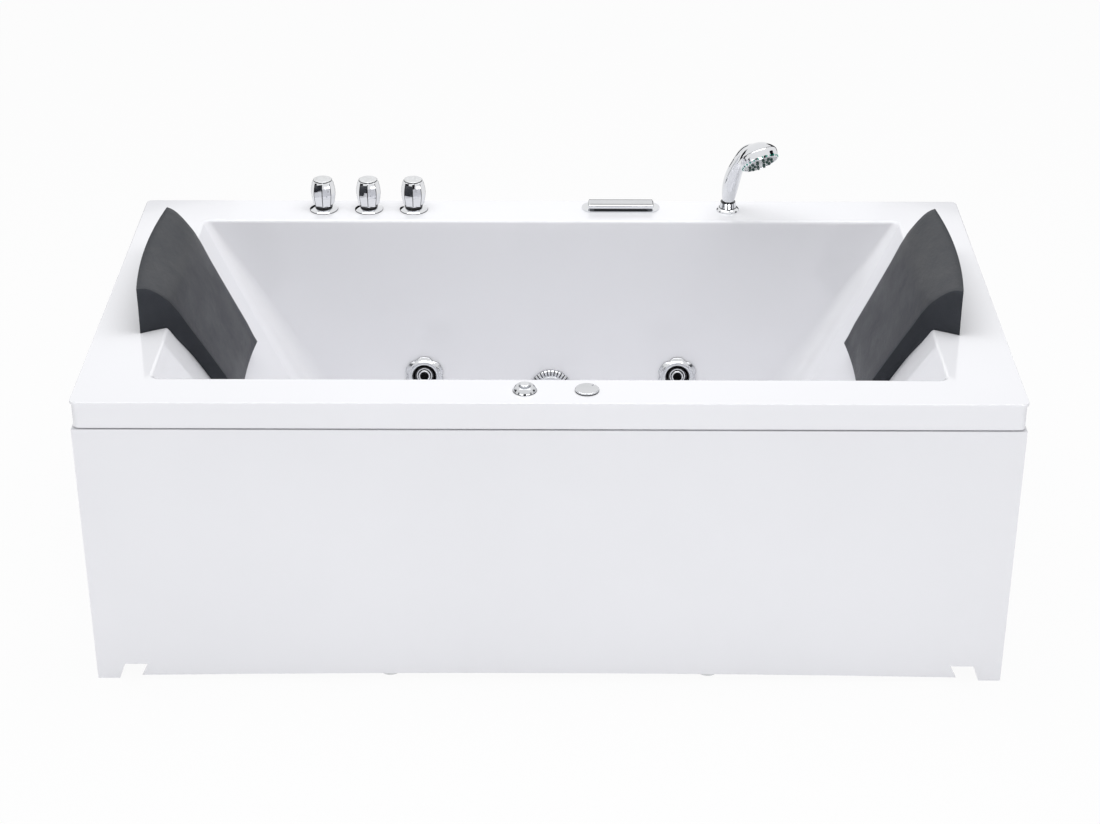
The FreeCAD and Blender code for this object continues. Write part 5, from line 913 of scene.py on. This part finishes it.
FLOOR_SIZE, FLOOR_LEVEL = 30.0, -0.0005
WORLD_COLOUR, WORLD_STRENGTH = (0.97, 0.98, 1.0, 1.0), 0.50

# Each cloth: azimuth in degrees from behind the tub, width, distance, lower edge and upper edge
DARK_FLAGS = ((180, 0.9, 2.3, 0.0, 1.1), (128, 0.5, 2.6, 0.0, 1.4), (232, 0.5, 2.6, 0.0, 1.4),
              (84, 1.1, 2.9, 0.0, 1.9), (276, 1.1, 2.9, 0.0, 1.9), (28, 1.0, 3.2, 0.0, 1.7),
              (332, 1.0, 3.2, 0.0, 1.7))

# Each lamp: name, place, the point it looks at, its two sides and its power in watts
LAMPS = (("overhead_lamp", (0.0, 0.1, 2.9), (0, 0, 0.3), (3.2, 1.6), 46),
         ("left_front_lamp", (-1.3, -2.7, 0.42), (-0.5, 0, 0.3), (1.6, 0.5), 13),
         ("right_front_lamp", (1.3, -2.7, 0.42), (0.5, 0, 0.3), (1.6, 0.5), 13))

CAMERA_PLACE = (0.0222, -4.0755, 2.5449)
CAMERA_DOWN, CAMERA_TURN = 28.535, 0.315  # degrees
CAMERA_SENSOR, CAMERA_LENS = 36.0, 76.38  # millimetres


def ray_kinds(tree, *kinds):
    """A value that is 1 for rays of the given kinds and 0 for all others."""
    path = tree.nodes.new("ShaderNodeLightPath")
    value = path.outputs[kinds[0]]
    for kind in kinds[1:]:
        either = tree.nodes.new("ShaderNodeMath")
        either.operation = "MAXIMUM"
        tree.links.new(value, either.inputs[0])
        tree.links.new(path.outputs[kind], either.inputs[1])
        value = either.outputs["Value"]
    return value


def stage_material(name, colour, shown, share):
    """A stage surface: plain to the lamps, and partly a pale glow to the camera and to reflections."""
    material = bpy.data.materials.new(name)
    material.use_nodes = True
    tree = material.node_tree
    tree.nodes.clear()
    output = tree.nodes.new("ShaderNodeOutputMaterial")
    plain = tree.nodes.new("ShaderNodeBsdfDiffuse")
    glow = tree.nodes.new("ShaderNodeEmission")
    part = tree.nodes.new("ShaderNodeMath")
    mixed = tree.nodes.new("ShaderNodeMixShader")
    part.operation = "MULTIPLY"
    part.inputs[1].default_value = share
    plain.inputs["Color"].default_value = (*colour, 1.0)
    glow.inputs["Color"].default_value = (*shown, 1.0)
    tree.links.new(ray_kinds(tree, "Is Camera Ray", "Is Glossy Ray"), part.inputs[0])
    tree.links.new(part.outputs["Value"], mixed.inputs["Fac"])
    tree.links.new(plain.outputs["BSDF"], mixed.inputs[1])
    tree.links.new(glow.outputs["Emission"], mixed.inputs[2])
    tree.links.new(mixed.outputs["Shader"], output.inputs["Surface"])
    return material


def light_world(scene):
    """An even dim light from all sides, that the camera and clear or polished things see as white."""
    world = bpy.data.worlds.new("studio_light")
    scene.world = world
    world.use_nodes = True
    tree = world.node_tree
    tree.nodes.clear()
    output = tree.nodes.new("ShaderNodeOutputWorld")
    light = tree.nodes.new("ShaderNodeBackground")
    light.inputs["Color"].default_value = WORLD_COLOUR
    light.inputs["Strength"].default_value = WORLD_STRENGTH
    shown = tree.nodes.new("ShaderNodeBackground")
    shown.inputs["Color"].default_value = (1.0, 1.0, 1.0, 1.0)
    shown.inputs["Strength"].default_value = 1.0
    mixed = tree.nodes.new("ShaderNodeMixShader")
    seen = ray_kinds(tree, "Is Camera Ray", "Is Glossy Ray", "Is Transmission Ray")
    tree.links.new(seen, mixed.inputs["Fac"])
    tree.links.new(light.outputs["Background"], mixed.inputs[1])
    tree.links.new(shown.outputs["Background"], mixed.inputs[2])
    tree.links.new(mixed.outputs["Shader"], output.inputs["Surface"])


def add_lamp(scene, name, place, aim, size, power):
    """A soft rectangular lamp that looks at a point."""
    lamp = bpy.data.lights.new(name, "AREA")
    lamp.shape = "RECTANGLE"
    lamp.size, lamp.size_y = size
    lamp.energy = power
    holder = bpy.data.objects.new(name, lamp)
    holder.location = place
    holder.rotation_euler = (Vector(aim) - Vector(place)).to_track_quat("-Z", "Y").to_euler()
    scene.collection.objects.link(holder)


def dark_flag(scene, name, material, azimuth, width, radius, low, high):
    """A dark upright cloth beside the set, seen only in polished things; azimuth 0 is behind the tub."""
    shape = bmesh.new()
    bmesh.ops.create_grid(shape, x_segments=2, y_segments=2, size=0.5)
    turn = Matrix.Rotation(math.radians(-azimuth), 4, "Z")
    stand = Matrix.Translation((0, radius, (low + high) / 2)) @ Matrix.Rotation(math.pi / 2, 4, "X")
    size = Matrix.Diagonal((width, high - low, 1.0, 1.0))
    bmesh.ops.transform(shape, matrix=turn @ stand @ size, verts=shape.verts)
    mesh = bpy.data.meshes.new(name)
    shape.to_mesh(mesh)
    shape.free()
    mesh.materials.append(material)
    flag = bpy.data.objects.new(name, mesh)
    scene.collection.objects.link(flag)
    flag.visible_camera = False
    flag.visible_diffuse = False
    flag.visible_shadow = False
    flag.visible_transmission = False


class TUB_OT_stage(Operator):
    """Set the floor, the light and the camera."""

    bl_idname = "tub.stage"
    bl_label = "Stage"

    def execute(self, context):
        scene = context.scene
        shape = bmesh.new()
        bmesh.ops.create_grid(shape, x_segments=8, y_segments=8, size=FLOOR_SIZE)
        bmesh.ops.translate(shape, verts=shape.verts, vec=(0, 0, FLOOR_LEVEL))
        mesh = bpy.data.meshes.new("studio_floor")
        shape.to_mesh(mesh)
        shape.free()
        floor = bpy.data.objects.new("studio_floor", mesh)
        mesh.materials.append(stage_material("studio_floor_finish", (0.80, 0.80, 0.81),
                                             (1.0, 1.0, 1.0), 0.95))
        scene.collection.objects.link(floor)
        cloth = stage_material("dark_flag_finish", (0.01, 0.01, 0.01), (0.01, 0.01, 0.012), 1.0)
        for number, sizes in enumerate(DARK_FLAGS, start=1):
            dark_flag(scene, f"dark_flag_{number}", cloth, *sizes)
        light_world(scene)
        for lamp in LAMPS:
            add_lamp(scene, *lamp)
        scene.view_settings.view_transform = "Standard"
        camera = bpy.data.cameras.new("photo_camera")
        camera.sensor_width = CAMERA_SENSOR
        camera.lens = CAMERA_LENS
        holder = bpy.data.objects.new("photo_camera", camera)
        holder.location = CAMERA_PLACE
        holder.rotation_euler = Euler((math.radians(90 - CAMERA_DOWN), 0.0, math.radians(CAMERA_TURN)))
        scene.collection.objects.link(holder)
        scene.camera = holder
        return {"FINISHED"}


class TUB_PT_panel(Panel):
    """The tub's pieces, colours and sizes in the sidebar."""

    bl_idname = "TUB_PT_panel"
    bl_label = "Jetted bathtub"
    bl_space_type = "VIEW_3D"
    bl_region_type = "UI"
    bl_category = "Bathtub"

    def draw(self, context):
        for group in (context.scene.tub_colours, context.scene.tub_sizes):
            for name in group.__annotations__:
                self.layout.prop(group, name)
        for operator in OPERATORS:
            self.layout.operator(operator.bl_idname)


# In the order in which they run: the finishes come first
OPERATORS = (TUB_OT_finishes, TUB_OT_shell, TUB_OT_headrests, TUB_OT_taps, TUB_OT_spout,
             TUB_OT_hand_shower, TUB_OT_controls, TUB_OT_jets, TUB_OT_suction, TUB_OT_drain,
             TUB_OT_frame, TUB_OT_pump, TUB_OT_stage)
CLASSES = (TubColours, TubSizes, *OPERATORS, TUB_PT_panel)


def register():
    """Adds the add-on's classes and properties."""
    for item in CLASSES:
        bpy.utils.register_class(item)
    bpy.types.Scene.tub_colours = PointerProperty(type=TubColours)
    bpy.types.Scene.tub_sizes = PointerProperty(type=TubSizes)


def unregister():
    """Takes the add-on's classes and properties away again."""
    del bpy.types.Scene.tub_sizes
    del bpy.types.Scene.tub_colours
    for item in reversed(CLASSES):
        bpy.utils.unregister_class(item)


def main():
    """Builds everything through the operators."""
    register()
    for operator in OPERATORS:
        getattr(bpy.ops.tub, operator.bl_idname.split(".")[1])()


if __name__ == "__main__":
    main()
